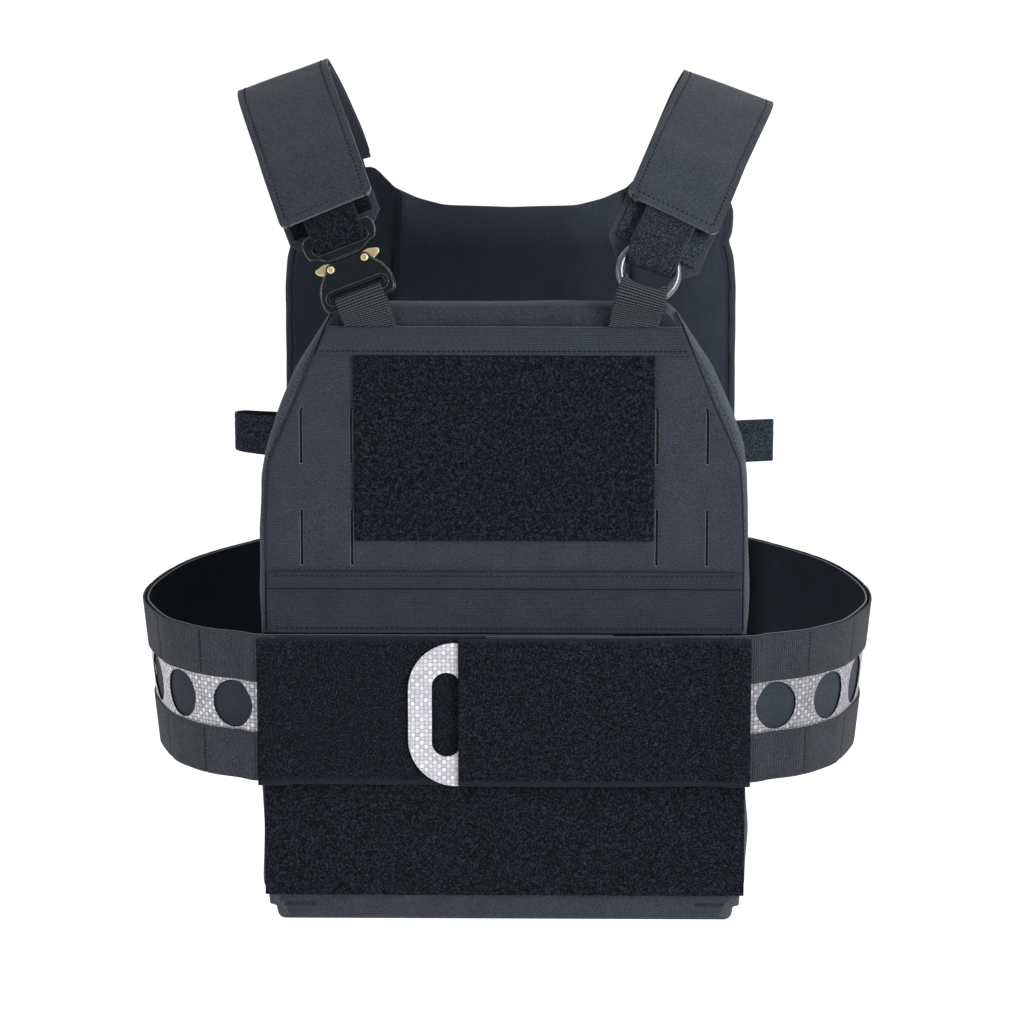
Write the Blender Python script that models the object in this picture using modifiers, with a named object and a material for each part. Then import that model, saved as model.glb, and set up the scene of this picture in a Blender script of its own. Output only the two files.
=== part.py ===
"""A slick plate carrier vest in its worn shape: front and back plate pouches, a two-arm cummerbund
and two shoulder straps, one closed by a two-lever buckle and one by a ring.

Units are metres. +X is the viewer's right, +Y runs from the front to the back and +Z is up. The
origin lies between the undersides of the two shoulder straps, where a wearer's shoulders or a
hanger would carry the vest. Left and right are the viewer's, looking at the front.
"""

import math

import bmesh
import bpy
import numpy as np
from mathutils import Matrix, Vector

# Driving sizes
GAP = 0.0003
CREST_DEPTH = 0.112
CREST_HEIGHT = 0.205
FRONT = -CREST_DEPTH
BACK_INNER = 0.106
BAG_THICK = 0.022
BAG_WALL = 0.0025
BAG_HALF_WIDTH = 0.1272
PANEL_HALF_WIDTH = 0.124
SHEET = 0.0015
BAND = 0.001
WEBBING_WIDTH = 0.0254
WEBBING_THICK = 0.0014
COVER_WIDTH = 0.0508
TAB_WIDTH = 0.0275
HOLE_RADIUS = 0.0127
HOLE_PITCH = 0.0381

# Heights above the origin, all on the front face
BAG_TOP = 0.1086 - CREST_HEIGHT
PANEL_TOP = 0.0975 - CREST_HEIGHT
BAND_LOW = 0.0828 - CREST_HEIGHT
PATCH_LOW = -0.0147 - CREST_HEIGHT
LOWER_BAND_TOP = -0.0312 - CREST_HEIGHT
PANEL_LOW = -0.0640 - CREST_HEIGHT
FIELD_LOW = -0.2065 - CREST_HEIGHT
BAG_LOW = -0.2213 - CREST_HEIGHT

# Colours as linear RGB, with roughness and metallic value
FINISHES = {
    "laminate": ((0.043, 0.048, 0.062), 0.75, 0.0),
    "lining": ((0.016, 0.018, 0.024), 0.85, 0.0),
    "loop": ((0.011, 0.013, 0.017), 0.95, 0.0),
    "elastic": ((0.045, 0.050, 0.058), 0.85, 0.0),
    "composite": ((0.40, 0.40, 0.43), 0.55, 0.0),
    "webbing": ((0.030, 0.034, 0.040), 0.80, 0.0),
    "black_metal": ((0.012, 0.016, 0.015), 0.30, 0.8),
    "brass": ((0.62, 0.50, 0.26), 0.30, 1.0),
    "gunmetal": ((0.06, 0.065, 0.07), 0.30, 1.0),
}


def clear_scene():
    for obj in list(bpy.data.objects):
        bpy.data.objects.remove(obj, do_unlink=True)


def new_collection(name):
    collection = bpy.data.collections.new(name)
    bpy.context.scene.collection.children.link(collection)
    return collection


def finish(obj, kind):
    """Gives the object a material of its own with the finish of this kind."""
    colour, roughness, metallic = FINISHES[kind]
    material = bpy.data.materials.new(obj.name)
    material.use_nodes = True
    shader = material.node_tree.nodes["Principled BSDF"]
    shader.inputs["Base Color"].default_value = (*colour, 1.0)
    shader.inputs["Roughness"].default_value = roughness
    shader.inputs["Metallic"].default_value = metallic
    obj.data.materials.clear()
    obj.data.materials.append(material)


def add_mesh(name, points, faces, kind, collection=None):
    mesh = bpy.data.meshes.new(name)
    mesh.from_pydata([tuple(p) for p in points], [], faces)
    fixed = bmesh.new()
    fixed.from_mesh(mesh)
    bmesh.ops.recalc_face_normals(fixed, faces=fixed.faces)
    fixed.to_mesh(mesh)
    fixed.free()
    obj = bpy.data.objects.new(name, mesh)
    (collection or PARTS).objects.link(obj)
    finish(obj, kind)
    return obj


def stacked(name, rings, kind, collection=None):
    """A closed body lofted through rings of equal count, with a flat cap at each end."""
    count = len(rings[0])
    points = [point for ring in rings for point in ring]
    faces = [list(range(count)), list(range(len(points) - count, len(points)))]
    for layer in range(len(rings) - 1):
        start = layer * count
        for i in range(count):
            j = (i + 1) % count
            faces.append([start + i, start + j, start + count + j, start + count + i])
    return add_mesh(name, points, faces, kind, collection)


def sheet(name, rows, thickness, kind):
    """An open surface through rows of equal count, thickened evenly to both sides."""
    count = len(rows[0])
    points = [point for row in rows for point in row]
    faces = []
    for row in range(len(rows) - 1):
        for i in range(count - 1):
            start = row * count + i
            faces.append([start, start + 1, start + count + 1, start + count])
    obj = add_mesh(name, points, faces, kind)
    thicken = obj.modifiers.new("thickness", "SOLIDIFY")
    thicken.thickness = thickness
    thicken.offset = 0.0
    thicken.use_even_offset = True
    return obj


def flat(name, outlines, thickness, kind, place=None, collection=None):
    """A flat outline, with any further outlines as holes in it, thickened to both sides of its plane."""
    curve = bpy.data.curves.new(name, "CURVE")
    curve.dimensions = "2D"
    curve.fill_mode = "BOTH"
    curve.extrude = thickness / 2
    for outline in outlines:
        spline = curve.splines.new("POLY")
        spline.points.add(len(outline) - 1)
        for point, (across, up) in zip(spline.points, outline):
            point.co = (across, up, 0.0, 1.0)
        spline.use_cyclic_u = True
    obj = bpy.data.objects.new(name, curve)
    (collection or PARTS).objects.link(obj)
    obj.matrix_world = place or Matrix.Identity(4)
    finish(obj, kind)
    return obj


def as_mesh(obj, collection=None):
    """The curve object made a mesh object with welded caps, in the same place."""
    bpy.context.view_layer.update()
    graph = bpy.context.evaluated_depsgraph_get()
    mesh = bpy.data.meshes.new_from_object(obj.evaluated_get(graph))
    welded = bmesh.new()
    welded.from_mesh(mesh)
    bmesh.ops.remove_doubles(welded, verts=welded.verts, dist=0.00001)
    bmesh.ops.recalc_face_normals(welded, faces=welded.faces)
    welded.to_mesh(mesh)
    welded.free()
    name = obj.name
    material = obj.data.materials[0]
    solid = bpy.data.objects.new(name + "_solid", mesh)
    solid.matrix_world = obj.matrix_world
    (collection or PARTS).objects.link(solid)
    bpy.data.objects.remove(obj, do_unlink=True)
    solid.name = name
    mesh.materials.clear()
    mesh.materials.append(material)
    return solid


def cylinder(name, radius, depth, place, sides, collection, kind="gunmetal"):
    mesh = bpy.data.meshes.new(name)
    made = bmesh.new()
    bmesh.ops.create_cone(
        made, cap_ends=True, segments=sides, radius1=radius, radius2=radius, depth=depth
    )
    made.to_mesh(mesh)
    made.free()
    obj = bpy.data.objects.new(name, mesh)
    collection.objects.link(obj)
    obj.matrix_world = place
    finish(obj, kind)
    return obj


def hide(cutter):
    cutter.hide_render = True
    cutter.display_type = "WIRE"


def combine(obj, other, operation):
    """A Boolean of obj with other, which is moved out of the render."""
    modifier = obj.modifiers.new(operation.lower(), "BOOLEAN")
    modifier.operation = operation
    modifier.solver = "EXACT"
    modifier.object = other
    hide(other)


def mirrored(half):
    """A closed outline from the right half of it, listed from its top to its lower end."""
    left = [(-across, up) for across, up in reversed(half) if across > 0]
    return [*half, *left]


def upright(y):
    """Stands a flat outline up at this depth: its across is X and its up is Z."""
    return Matrix.Translation((0, y, 0)) @ Matrix.Rotation(math.pi / 2, 4, "X")


def smoothed(table, count):
    """Points on a smooth curve through the rows of a table, evenly spaced along it."""
    rows = np.array(table, float)
    padded = np.vstack([2 * rows[0] - rows[1], rows, 2 * rows[-1] - rows[-2]])
    fine = []
    for i in range(1, len(padded) - 2):
        before, start, end, after = padded[i - 1 : i + 3]
        for t in np.linspace(0, 1, 12, endpoint=False):
            fine.append(
                0.5
                * (
                    2 * start
                    + (end - before) * t
                    + (2 * before - 5 * start + 4 * end - after) * t**2
                    + (3 * start - before - 3 * end + after) * t**3
                )
            )
    fine.append(rows[-1])
    fine = np.array(fine)
    run = np.concatenate([[0], np.cumsum(np.linalg.norm(np.diff(fine[:, :2], axis=0), axis=1))])
    places = np.linspace(0, run[-1], count)
    return np.array([np.interp(places, run, fine[:, c]) for c in range(fine.shape[1])]).T


# Plate pouches

# Right half of the front pouch's outline: across, height on the front face
FRONT_OUTLINE = (
    (0.0835, BAG_TOP),
    (0.0880, BAG_TOP - 0.0030),
    (0.0965, BAG_TOP - 0.0166),
    (0.1075, BAG_TOP - 0.0336),
    (0.1173, BAG_TOP - 0.0556),
    (0.1234, BAG_TOP - 0.0739),
    (0.1263, BAG_TOP - 0.0921),
    (BAG_HALF_WIDTH, BAG_TOP - 0.1186),
    (BAG_HALF_WIDTH, BAG_LOW + 0.0180),
    (0.1245, BAG_LOW + 0.0150),
    (0.1245, BAG_LOW + 0.0080),
    (0.1200, BAG_LOW + 0.0068),
    (0.1195, BAG_LOW + 0.0030),
    (0.1165, BAG_LOW),
)
EAR_TOP = 0.1530 - CREST_HEIGHT
# Right half of the back pouch's outline: across, height
BACK_OUTLINE = (
    (0.0, EAR_TOP - 0.0240),
    (0.0360, EAR_TOP - 0.0230),
    (0.0520, EAR_TOP - 0.0190),
    (0.0650, EAR_TOP - 0.0130),
    (0.0710, EAR_TOP - 0.0070),
    (0.0760, EAR_TOP - 0.0010),
    (0.0785, EAR_TOP),
    (0.1220, EAR_TOP - 0.0165),
    (0.1257, EAR_TOP - 0.0250),
    (0.1250, EAR_TOP - 0.0380),
    (0.1227, EAR_TOP - 0.0430),
    (0.1259, EAR_TOP - 0.0530),
    (BAG_HALF_WIDTH, EAR_TOP - 0.0700),
    (BAG_HALF_WIDTH, BAG_LOW + 0.0180),
    (0.1245, BAG_LOW + 0.0150),
    (0.1245, BAG_LOW + 0.0080),
    (0.1200, BAG_LOW + 0.0068),
    (0.1195, BAG_LOW + 0.0030),
    (0.1165, BAG_LOW),
)
# How the pouches round off towards both faces: depth from the wearer's or outer face, inset of the rim
RIM = (
    (0.0, 0.0060),
    (0.0012, 0.0032),
    (0.0035, 0.0010),
    (0.0070, 0.0),
    (0.0150, 0.0),
    (0.0185, 0.0010),
    (0.0208, 0.0032),
    (BAG_THICK, 0.0060),
)
# How far the ears fall from the wearer's side to the outer side: depth, fall
EAR_FALL = (
    (0.0, 0.0),
    (0.0050, 0.0),
    (0.0150, 0.0200),
    (BAG_THICK, 0.0400),
)
POCKET_TOP_FRONT = BAG_TOP - 0.0050
POCKET_TOP_BACK = 0.1040 - CREST_HEIGHT
# Right half of a plate's hollow: across, height below its top
POCKET_OUTLINE = (
    (0.0790, 0.0),
    (0.1030, -0.0400),
    (0.1200, -0.0900),
    (0.1230, -0.1200),
)
POCKET_HALF_MOUTH = 0.1150


def ring_at(outline, depth, inset, fall=0.0, fall_below=None):
    """The outline at a depth, drawn in towards its middle, with all above a height let down."""
    middle = (BAG_TOP + BAG_LOW) / 2
    half_height = (BAG_TOP - BAG_LOW) / 2
    ring = []
    for across, up in mirrored(outline):
        if fall_below is not None and up > fall_below:
            up -= fall * (up - fall_below) / (EAR_TOP - fall_below)
        ring.append(
            (
                across * (1 - inset / BAG_HALF_WIDTH),
                depth,
                middle + (up - middle) * (1 - inset / half_height),
            )
        )
    return ring


def pocket(name, top, first, last):
    """The hollow of a pouch, from under its top out through the mouth in its lower edge."""
    low = BAG_LOW + 0.0200
    half = [(across, top + down) for across, down in POCKET_OUTLINE]
    half += [(0.1230, low + 0.0100), (POCKET_HALF_MOUTH, low), (POCKET_HALF_MOUTH, BAG_LOW - 0.01)]
    outline = mirrored(half)
    rings = [[(across, depth, up) for across, up in outline] for depth in (first, last)]
    return stacked(name, rings, "lining", CUTTERS)


def front_bag():
    rings = [ring_at(FRONT_OUTLINE, FRONT + depth, inset) for depth, inset in RIM]
    bag = stacked("front_bag", rings, "laminate")
    hollow = pocket(
        "front_hollow", POCKET_TOP_FRONT, FRONT + BAG_WALL, FRONT + BAG_THICK - BAG_WALL
    )
    combine(bag, hollow, "DIFFERENCE")


def back_bag():
    depths, falls = zip(*EAR_FALL)
    rings = []
    for depth, inset in RIM:
        fall = float(np.interp(depth, depths, falls))
        rings.append(
            ring_at(BACK_OUTLINE, BACK_INNER + depth, inset, fall, POCKET_TOP_BACK)
        )
    bag = stacked("back_bag", rings, "laminate")
    hollow = pocket(
        "back_hollow",
        POCKET_TOP_BACK,
        BACK_INNER + BAG_WALL,
        BACK_INNER + BAG_THICK - BAG_WALL,
    )
    combine(bag, hollow, "DIFFERENCE")


# Sheets on the front pouch

# Right edge of the face panel: across, height
PANEL_EDGE = (
    (0.0917, PANEL_TOP),
    (0.0981, PANEL_TOP - 0.0158),
    (0.1075, PANEL_TOP - 0.0395),
    (0.1153, PANEL_TOP - 0.0567),
    (0.1214, PANEL_TOP - 0.0713),
    (0.1230, PANEL_TOP - 0.0890),
    (0.1238, PANEL_TOP - 0.1118),
    (PANEL_HALF_WIDTH, PANEL_LOW),
)
PATCH_HALF_WIDTH = 0.0776
FIELD_HALF_WIDTH = 0.1262
SLIT_WIDTH = 0.0010
SLIT_LENGTH = 0.0295
SLIT_COLUMNS = (0.0790, 0.1050)
SLIT_TOPS = (0.0552 - CREST_HEIGHT, 0.0015 - CREST_HEIGHT)
LAYER_1 = FRONT - GAP - SHEET / 2
LAYER_2 = FRONT - 2 * GAP - SHEET - BAND / 2


def edge_between(low, high, inset=0.0):
    """The right edge of the face panel between two heights."""
    heights = [up for _, up in reversed(PANEL_EDGE)]
    across = [value for value, _ in reversed(PANEL_EDGE)]
    inner = [up for up in reversed(heights) if low < up < high]
    return [(float(np.interp(up, heights, across)) - inset, up) for up in (high, *inner, low)]


def symmetric_band(low, high, inset=0.0):
    right = edge_between(low, high, inset)
    return [*right, *[(-across, up) for across, up in reversed(right)]]


def box_outline(left, right, low, high):
    return [(left, low), (right, low), (right, high), (left, high)]


def slit_outlines():
    outlines = []
    for column in SLIT_COLUMNS:
        for side in (-1, 1):
            for top in SLIT_TOPS:
                centre = side * column
                outlines.append(
                    box_outline(centre - SLIT_WIDTH / 2, centre + SLIT_WIDTH / 2, top - SLIT_LENGTH, top)
                )
    return outlines


def front_sheets():
    flat(
        "front_face_panel",
        [symmetric_band(PANEL_LOW, PANEL_TOP), *slit_outlines()],
        SHEET,
        "laminate",
        upright(LAYER_1),
    )
    flat(
        "front_top_band",
        [symmetric_band(BAND_LOW, PANEL_TOP, 0.0005)],
        BAND,
        "laminate",
        upright(LAYER_2),
    )
    flat(
        "front_lower_band",
        [symmetric_band(PANEL_LOW, LOWER_BAND_TOP, 0.0005)],
        BAND,
        "laminate",
        upright(LAYER_2),
    )
    flat(
        "front_loop_patch",
        [box_outline(-PATCH_HALF_WIDTH, PATCH_HALF_WIDTH, PATCH_LOW, BAND_LOW - GAP)],
        SHEET,
        "loop",
        upright(FRONT - 2 * GAP - SHEET - SHEET / 2),
    )
    flat(
        "front_loop_field",
        [
            box_outline(
                -FIELD_HALF_WIDTH, FIELD_HALF_WIDTH, FIELD_LOW, PANEL_LOW - GAP
            )
        ],
        SHEET,
        "loop",
        upright(LAYER_1),
    )


# Cummerbund

ARM_TOP = -0.0648 - CREST_HEIGHT
ARM_LOW = -0.1433 - CREST_HEIGHT
TOP_ROW_LOW = -0.0900 - CREST_HEIGHT
BOTTOM_ROW_TOP = -0.1172 - CREST_HEIGHT
CORE_MARGIN = 0.0040
EDGE_ACROSS = 0.1278
ARM_FRONT = -0.1141
# Layers outward from the wearer's side: start, thickness
LINING = (0.0, 0.0012)
CORE = (0.0016, 0.0008)
ROW = (0.0027, 0.0010)
FRONT_PANEL_LOW = 0.0015
FRONT_PANEL_HIGH = 0.0041
FRONT_PANEL = 0.0015
# The right arm crosses over the left one
ARM_OVER = ARM_FRONT - FRONT_PANEL_LOW - FRONT_PANEL - GAP
# The wearer's side of one arm in plan, from the panel's outer edge round to the back, on the right:
# across, depth, how much further in the lower edge is
ARM_PLAN = (
    (EDGE_ACROSS, ARM_FRONT, 0.0),
    (0.1370, -0.1083, 0.0),
    (0.1560, -0.0998, 0.0025),
    (0.1700, -0.0870, 0.0047),
    (0.1795, -0.0745, 0.0064),
    (0.1892, -0.0480, 0.0077),
    (0.1933, -0.0280, 0.0081),
    (0.1925, 0.0010, 0.0081),
    (0.1840, 0.0410, 0.0077),
    (0.1705, 0.0740, 0.0060),
    (0.1480, 0.1070, 0.0026),
    (0.1375, 0.1200, 0.0008),
    (0.1280, 0.1272, 0.0),
    (0.1120, 0.1285, 0.0),
    (0.0600, 0.1285, 0.0),
    (0.0030, 0.1285, 0.0),
)
# The stretch across the front, from the arm's end to the panel's outer edge: across, depth
RIGHT_FRONT = (
    (-0.0240, ARM_OVER),
    (0.0600, ARM_OVER),
    (0.0720, ARM_OVER + 0.0003),
    (0.1000, ARM_OVER + 0.0019),
)
LEFT_FRONT = (
    (-0.0580, ARM_FRONT),
    (0.0300, ARM_FRONT),
    (0.1000, ARM_FRONT),
)
PANEL_DROP = 0.0020
UNDER_PANEL = 0.0090
PANEL_RISE = (-UNDER_PANEL - 0.0080, -UNDER_PANEL - 0.0010)
ARM_STEP = 0.0150
REAR_OVERLAP = 0.1200
# Where the front stretches end: the right arm's loop panel and lining, and the left arm
RIGHT_PANEL_END = -0.1524
RIGHT_LINING_END = -0.1374
LEFT_ARM_END = -0.1850


class Arm:
    """One arm of the cummerbund in plan, with lengths measured from the panel's outer edge."""

    def __init__(self, side, front):
        self.side = side
        rows = [(across, depth, 0.0) for across, depth in front] + list(ARM_PLAN)
        self.points = smoothed(rows, 240)
        steps = np.linalg.norm(np.diff(self.points[:, :2], axis=0), axis=1)
        run = np.concatenate([[0], np.cumsum(steps)])
        edge = np.argmin(np.abs(self.points[:, :2] - (EDGE_ACROSS, ARM_FRONT)).sum(axis=1))
        self.run = run - run[edge]
        tangents = np.gradient(self.points[:, :2], axis=0)
        tangents /= np.linalg.norm(tangents, axis=1)[:, None]
        self.normals = np.array([tangents[:, 1], -tangents[:, 0]]).T

    def at(self, run, offset, height):
        """The point this far along the arm, outward by the offset, at a height."""
        values = [np.interp(run, self.run, self.points[:, c]) for c in range(3)]
        normal = [np.interp(run, self.run, self.normals[:, c]) for c in range(2)]
        down = (ARM_TOP - height) / (ARM_TOP - ARM_LOW)
        across = values[0] + normal[0] * offset - values[2] * down
        depth = values[1] + normal[1] * offset
        return Vector((self.side * across, depth, height))

    def heading(self, run):
        """The outward direction in plan this far along the arm."""
        normal = [np.interp(run, self.run, self.normals[:, c]) for c in range(2)]
        return Vector((self.side * normal[0], normal[1], 0.0)).normalized()

    def layer(self, name, runs, heights, layer, kind, offset=None):
        """A closed layer through these lengths and heights. Its start may change along the arm."""
        start, thickness = layer
        rings = []
        for run in runs:
            base = start if offset is None else offset(run)
            inner = [self.at(run, base, height) for height in heights]
            outer = [self.at(run, base + thickness, height) for height in reversed(heights)]
            rings.append(inner + outer)
        return stacked(name, rings, kind)


def panel_offset(run):
    """The front panel lies on the lining, and rises over the ends of the rows at its outer edge."""
    return float(np.interp(run, PANEL_RISE, (FRONT_PANEL_LOW, FRONT_PANEL_HIGH)))


def stations(start, end, step):
    """Lengths from start to end, closer than this step."""
    return np.linspace(start, end, max(2, math.ceil((end - start) / step) + 1))


def cummerbund_arm(word, side, front, panel_end, lining_end):
    arm = Arm(side, front)
    back = arm.run[-1]
    bend = stations(0.0, back - REAR_OVERLAP, ARM_STEP)
    around = [-UNDER_PANEL, *bend, back - REAR_OVERLAP * 2 / 3, back]
    across = [-0.060, -0.030, *PANEL_RISE]
    core_low = BOTTOM_ROW_TOP - CORE_MARGIN
    core_high = TOP_ROW_LOW + CORE_MARGIN
    label = "cummerbund_" + word
    heights = (ARM_LOW, core_low, BOTTOM_ROW_TOP, TOP_ROW_LOW, core_high, ARM_TOP)
    arm.layer(label + "_lining", [lining_end, *across, *around], heights, LINING, "lining")
    core = arm.layer(label + "_core", around, heights[1:5], CORE, "composite")
    arm.layer(label + "_top_row", around, heights[3:], ROW, "elastic")
    arm.layer(label + "_bottom_row", around, heights[:3], ROW, "elastic")
    arm.layer(
        label + "_front_panel",
        [panel_end, *across, -UNDER_PANEL / 2, 0.0],
        (ARM_LOW - PANEL_DROP, ARM_TOP - PANEL_DROP / 2),
        (FRONT_PANEL_LOW, FRONT_PANEL),
        "loop",
        panel_offset,
    )
    lightening_holes(arm, core, label)


FIRST_HOLE = 0.0155
HOLES = 8


def lightening_holes(arm, core, label):
    middle = (TOP_ROW_LOW + BOTTOM_ROW_TOP) / 2
    for index in range(HOLES):
        run = FIRST_HOLE + index * HOLE_PITCH
        turn = arm.heading(run).to_track_quat("Z", "Y").to_matrix().to_4x4()
        place = Matrix.Translation(arm.at(run, CORE[0], middle)) @ turn
        cutter = cylinder(
            f"{label}_hole_{index}", HOLE_RADIUS, 0.016, place, 20, CUTTERS
        )
        combine(core, cutter, "DIFFERENCE")


# The grip at the end of the right arm: half height, corner radius and finger hole
GRIP_LEFT = -0.0502
GRIP_RIGHT = -0.0100
GRIP_HALF_HEIGHT = 0.0385
GRIP_CORNER = 0.0250
GRIP_HOLE_LEFT = -0.0378
GRIP_HOLE_RIGHT = -0.0225
GRIP_HOLE_HALF_HEIGHT = 0.0226
GRIP_THICK = 0.0012
GRIP_MIDDLE = -0.1070 - CREST_HEIGHT


def arc(centre, radius, start, end, count):
    """Points on an arc between two angles in degrees."""
    points = []
    for angle in np.linspace(math.radians(start), math.radians(end), count):
        points.append(
            (
                centre[0] + radius * math.cos(angle),
                centre[1] + radius * math.sin(angle),
            )
        )
    return points


def pull_tab():
    top = GRIP_MIDDLE + GRIP_HALF_HEIGHT
    low = GRIP_MIDDLE - GRIP_HALF_HEIGHT
    outline = [
        (GRIP_RIGHT, low),
        (GRIP_RIGHT, top),
        *arc((GRIP_LEFT + GRIP_CORNER, top - GRIP_CORNER), GRIP_CORNER, 90, 180, 7),
        *arc((GRIP_LEFT + GRIP_CORNER, low + GRIP_CORNER), GRIP_CORNER, 180, 270, 7),
    ]
    radius = (GRIP_HOLE_RIGHT - GRIP_HOLE_LEFT) / 2
    middle = (GRIP_HOLE_RIGHT + GRIP_HOLE_LEFT) / 2
    reach = GRIP_HOLE_HALF_HEIGHT - radius
    hole = [
        *arc((middle, GRIP_MIDDLE + reach), radius, 0, 180, 7),
        *arc((middle, GRIP_MIDDLE - reach), radius, 180, 360, 7),
    ]
    flat(
        "pull_tab",
        [outline, hole],
        GRIP_THICK,
        "composite",
        upright(ARM_OVER - GRIP_THICK / 2),
    )


# Back flap over the rear of the cummerbund: depth, height
FLAP_HALF_WIDTH = 0.1080
FLAP_SECTION = (
    (0.1291, -0.0420 - CREST_HEIGHT),
    (0.1291, -0.0500 - CREST_HEIGHT),
    (0.1318, -0.0570 - CREST_HEIGHT),
    (0.1333, -0.0620 - CREST_HEIGHT),
    (0.1333, -0.1000 - CREST_HEIGHT),
    (0.1333, -0.1560 - CREST_HEIGHT),
)


def back_flap():
    rows = [
        [(across, depth, up) for across in (-FLAP_HALF_WIDTH, 0.0, FLAP_HALF_WIDTH)]
        for depth, up in FLAP_SECTION
    ]
    sheet("back_flap", rows, SHEET, "laminate")


# Elastic loops on the back pouch's sides
LOOP_HEIGHT = 0.0240
LOOP_THICK = 0.0014
LOOP_ROOT = BAG_HALF_WIDTH
LOOP_DEPTH = 0.1160


def side_loop(name, side, tip, half_gap, top):
    """A strip of elastic doubled outwards from the pouch's side, its legs this far from its middle."""
    corner = [
        (tip - half_gap + half_gap * math.cos(a), LOOP_DEPTH + half_gap * math.sin(a))
        for a in np.linspace(-math.pi / 2, math.pi / 2, 7)
    ]
    root = LOOP_ROOT + GAP if half_gap < LOOP_THICK else LOOP_ROOT
    plan = [(root, LOOP_DEPTH - half_gap), *corner, (root, LOOP_DEPTH + half_gap)]
    rows = [
        [(side * across, depth, height) for across, depth in plan]
        for height in (top - LOOP_HEIGHT, top)
    ]
    sheet(name, rows, LOOP_THICK, "elastic")


# Shoulder straps

# Middle of the straps from the front pouch over the shoulder to the ears:
# left strap's distance across, right strap's, depth, left strap's height
STRAP_PATH = (
    (0.0685, 0.0663, -0.0015, 0.0980),
    (0.0705, 0.0677, -0.0018, 0.1040),
    (0.0727, 0.0691, -0.0013, 0.1100),
    (0.0764, 0.0716, 0.0021, 0.1200),
    (0.0802, 0.0746, 0.0056, 0.1300),
    (0.0845, 0.0786, 0.0094, 0.1400),
    (0.0889, 0.0830, 0.0140, 0.1500),
    (0.0932, 0.0878, 0.0210, 0.1600),
    (0.0985, 0.0935, 0.0320, 0.1720),
    (0.1045, 0.0998, 0.0475, 0.1850),
    (0.1108, 0.1068, 0.0670, 0.1970),
    (0.1160, 0.1128, 0.0880, 0.2060),
    (0.1186, 0.1160, 0.1030, 0.2100),
    (0.1193, 0.1172, 0.1150, 0.2112),
    (0.1192, 0.1172, 0.1310, 0.2090),
    (0.1173, 0.1154, 0.1510, 0.2015),
    (0.1138, 0.1120, 0.1710, 0.1905),
    (0.1095, 0.1078, 0.1880, 0.1770),
    (0.1056, 0.1040, 0.2000, 0.1650),
    (0.1028, 0.1015, 0.2090, 0.1545),
    (0.1014, 0.1005, 0.2165, 0.1475),
    (0.1006, 0.1003, 0.2215, 0.1438),
)
CROSS_SLOPE = math.radians(20)
FOLD_STEPS = 9
FOOT_HEIGHT = 0.0025
STRAP_FOOT = 0.0980
# The right strap sits lower at its crest, and both end at the same height
RIGHT_RISE = 0.944
REAR_START = 0.1150

BASE_THICK = 0.0016
INNER_THICK = 0.0022
INNER_HALF_WIDTH = 0.0205
COVER_THICK = 0.0016
PATCH_THICK = 0.0010
TAB_THICK = 0.0018
RING_RADIUS = 0.01475
RING_WIRE = 0.00225

# Distances out from the middle line, where the layers of a strap lie on each other
BASE_OUT = -INNER_THICK / 2 - GAP - BASE_THICK / 2
PATCH_OUT = BASE_OUT + BASE_THICK / 2 + GAP + PATCH_THICK / 2
LEG_1_OUT = PATCH_OUT + PATCH_THICK / 2 + GAP + TAB_THICK / 2
LEG_2_OUT = LEG_1_OUT + TAB_THICK + GAP
COVER_LOW_OUT = INNER_THICK / 2 + GAP + COVER_THICK / 2
PATCH_FROM_END = 0.0080
PATCH_LENGTH = 0.0300
PATCH_INSET = 0.0035
CORNER_CLIP = 0.0090
COVER_END_FROM_EAR = 0.0140
TAB_END = 0.0960
INNER_START = 0.1060
INNER_SHORT = 0.0040
STRAP_JOINTS = 25
# How the cover comes down behind the tab's end: length, and the cover's rounded front corners:
# distance from its front edge, how much narrower each side is
COVER_DOWN = (TAB_END, TAB_END + 0.0220)
COVER_CORNER = ((0.0, 0.0040), (0.0012, 0.0012), (0.0040, 0.0))


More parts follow.
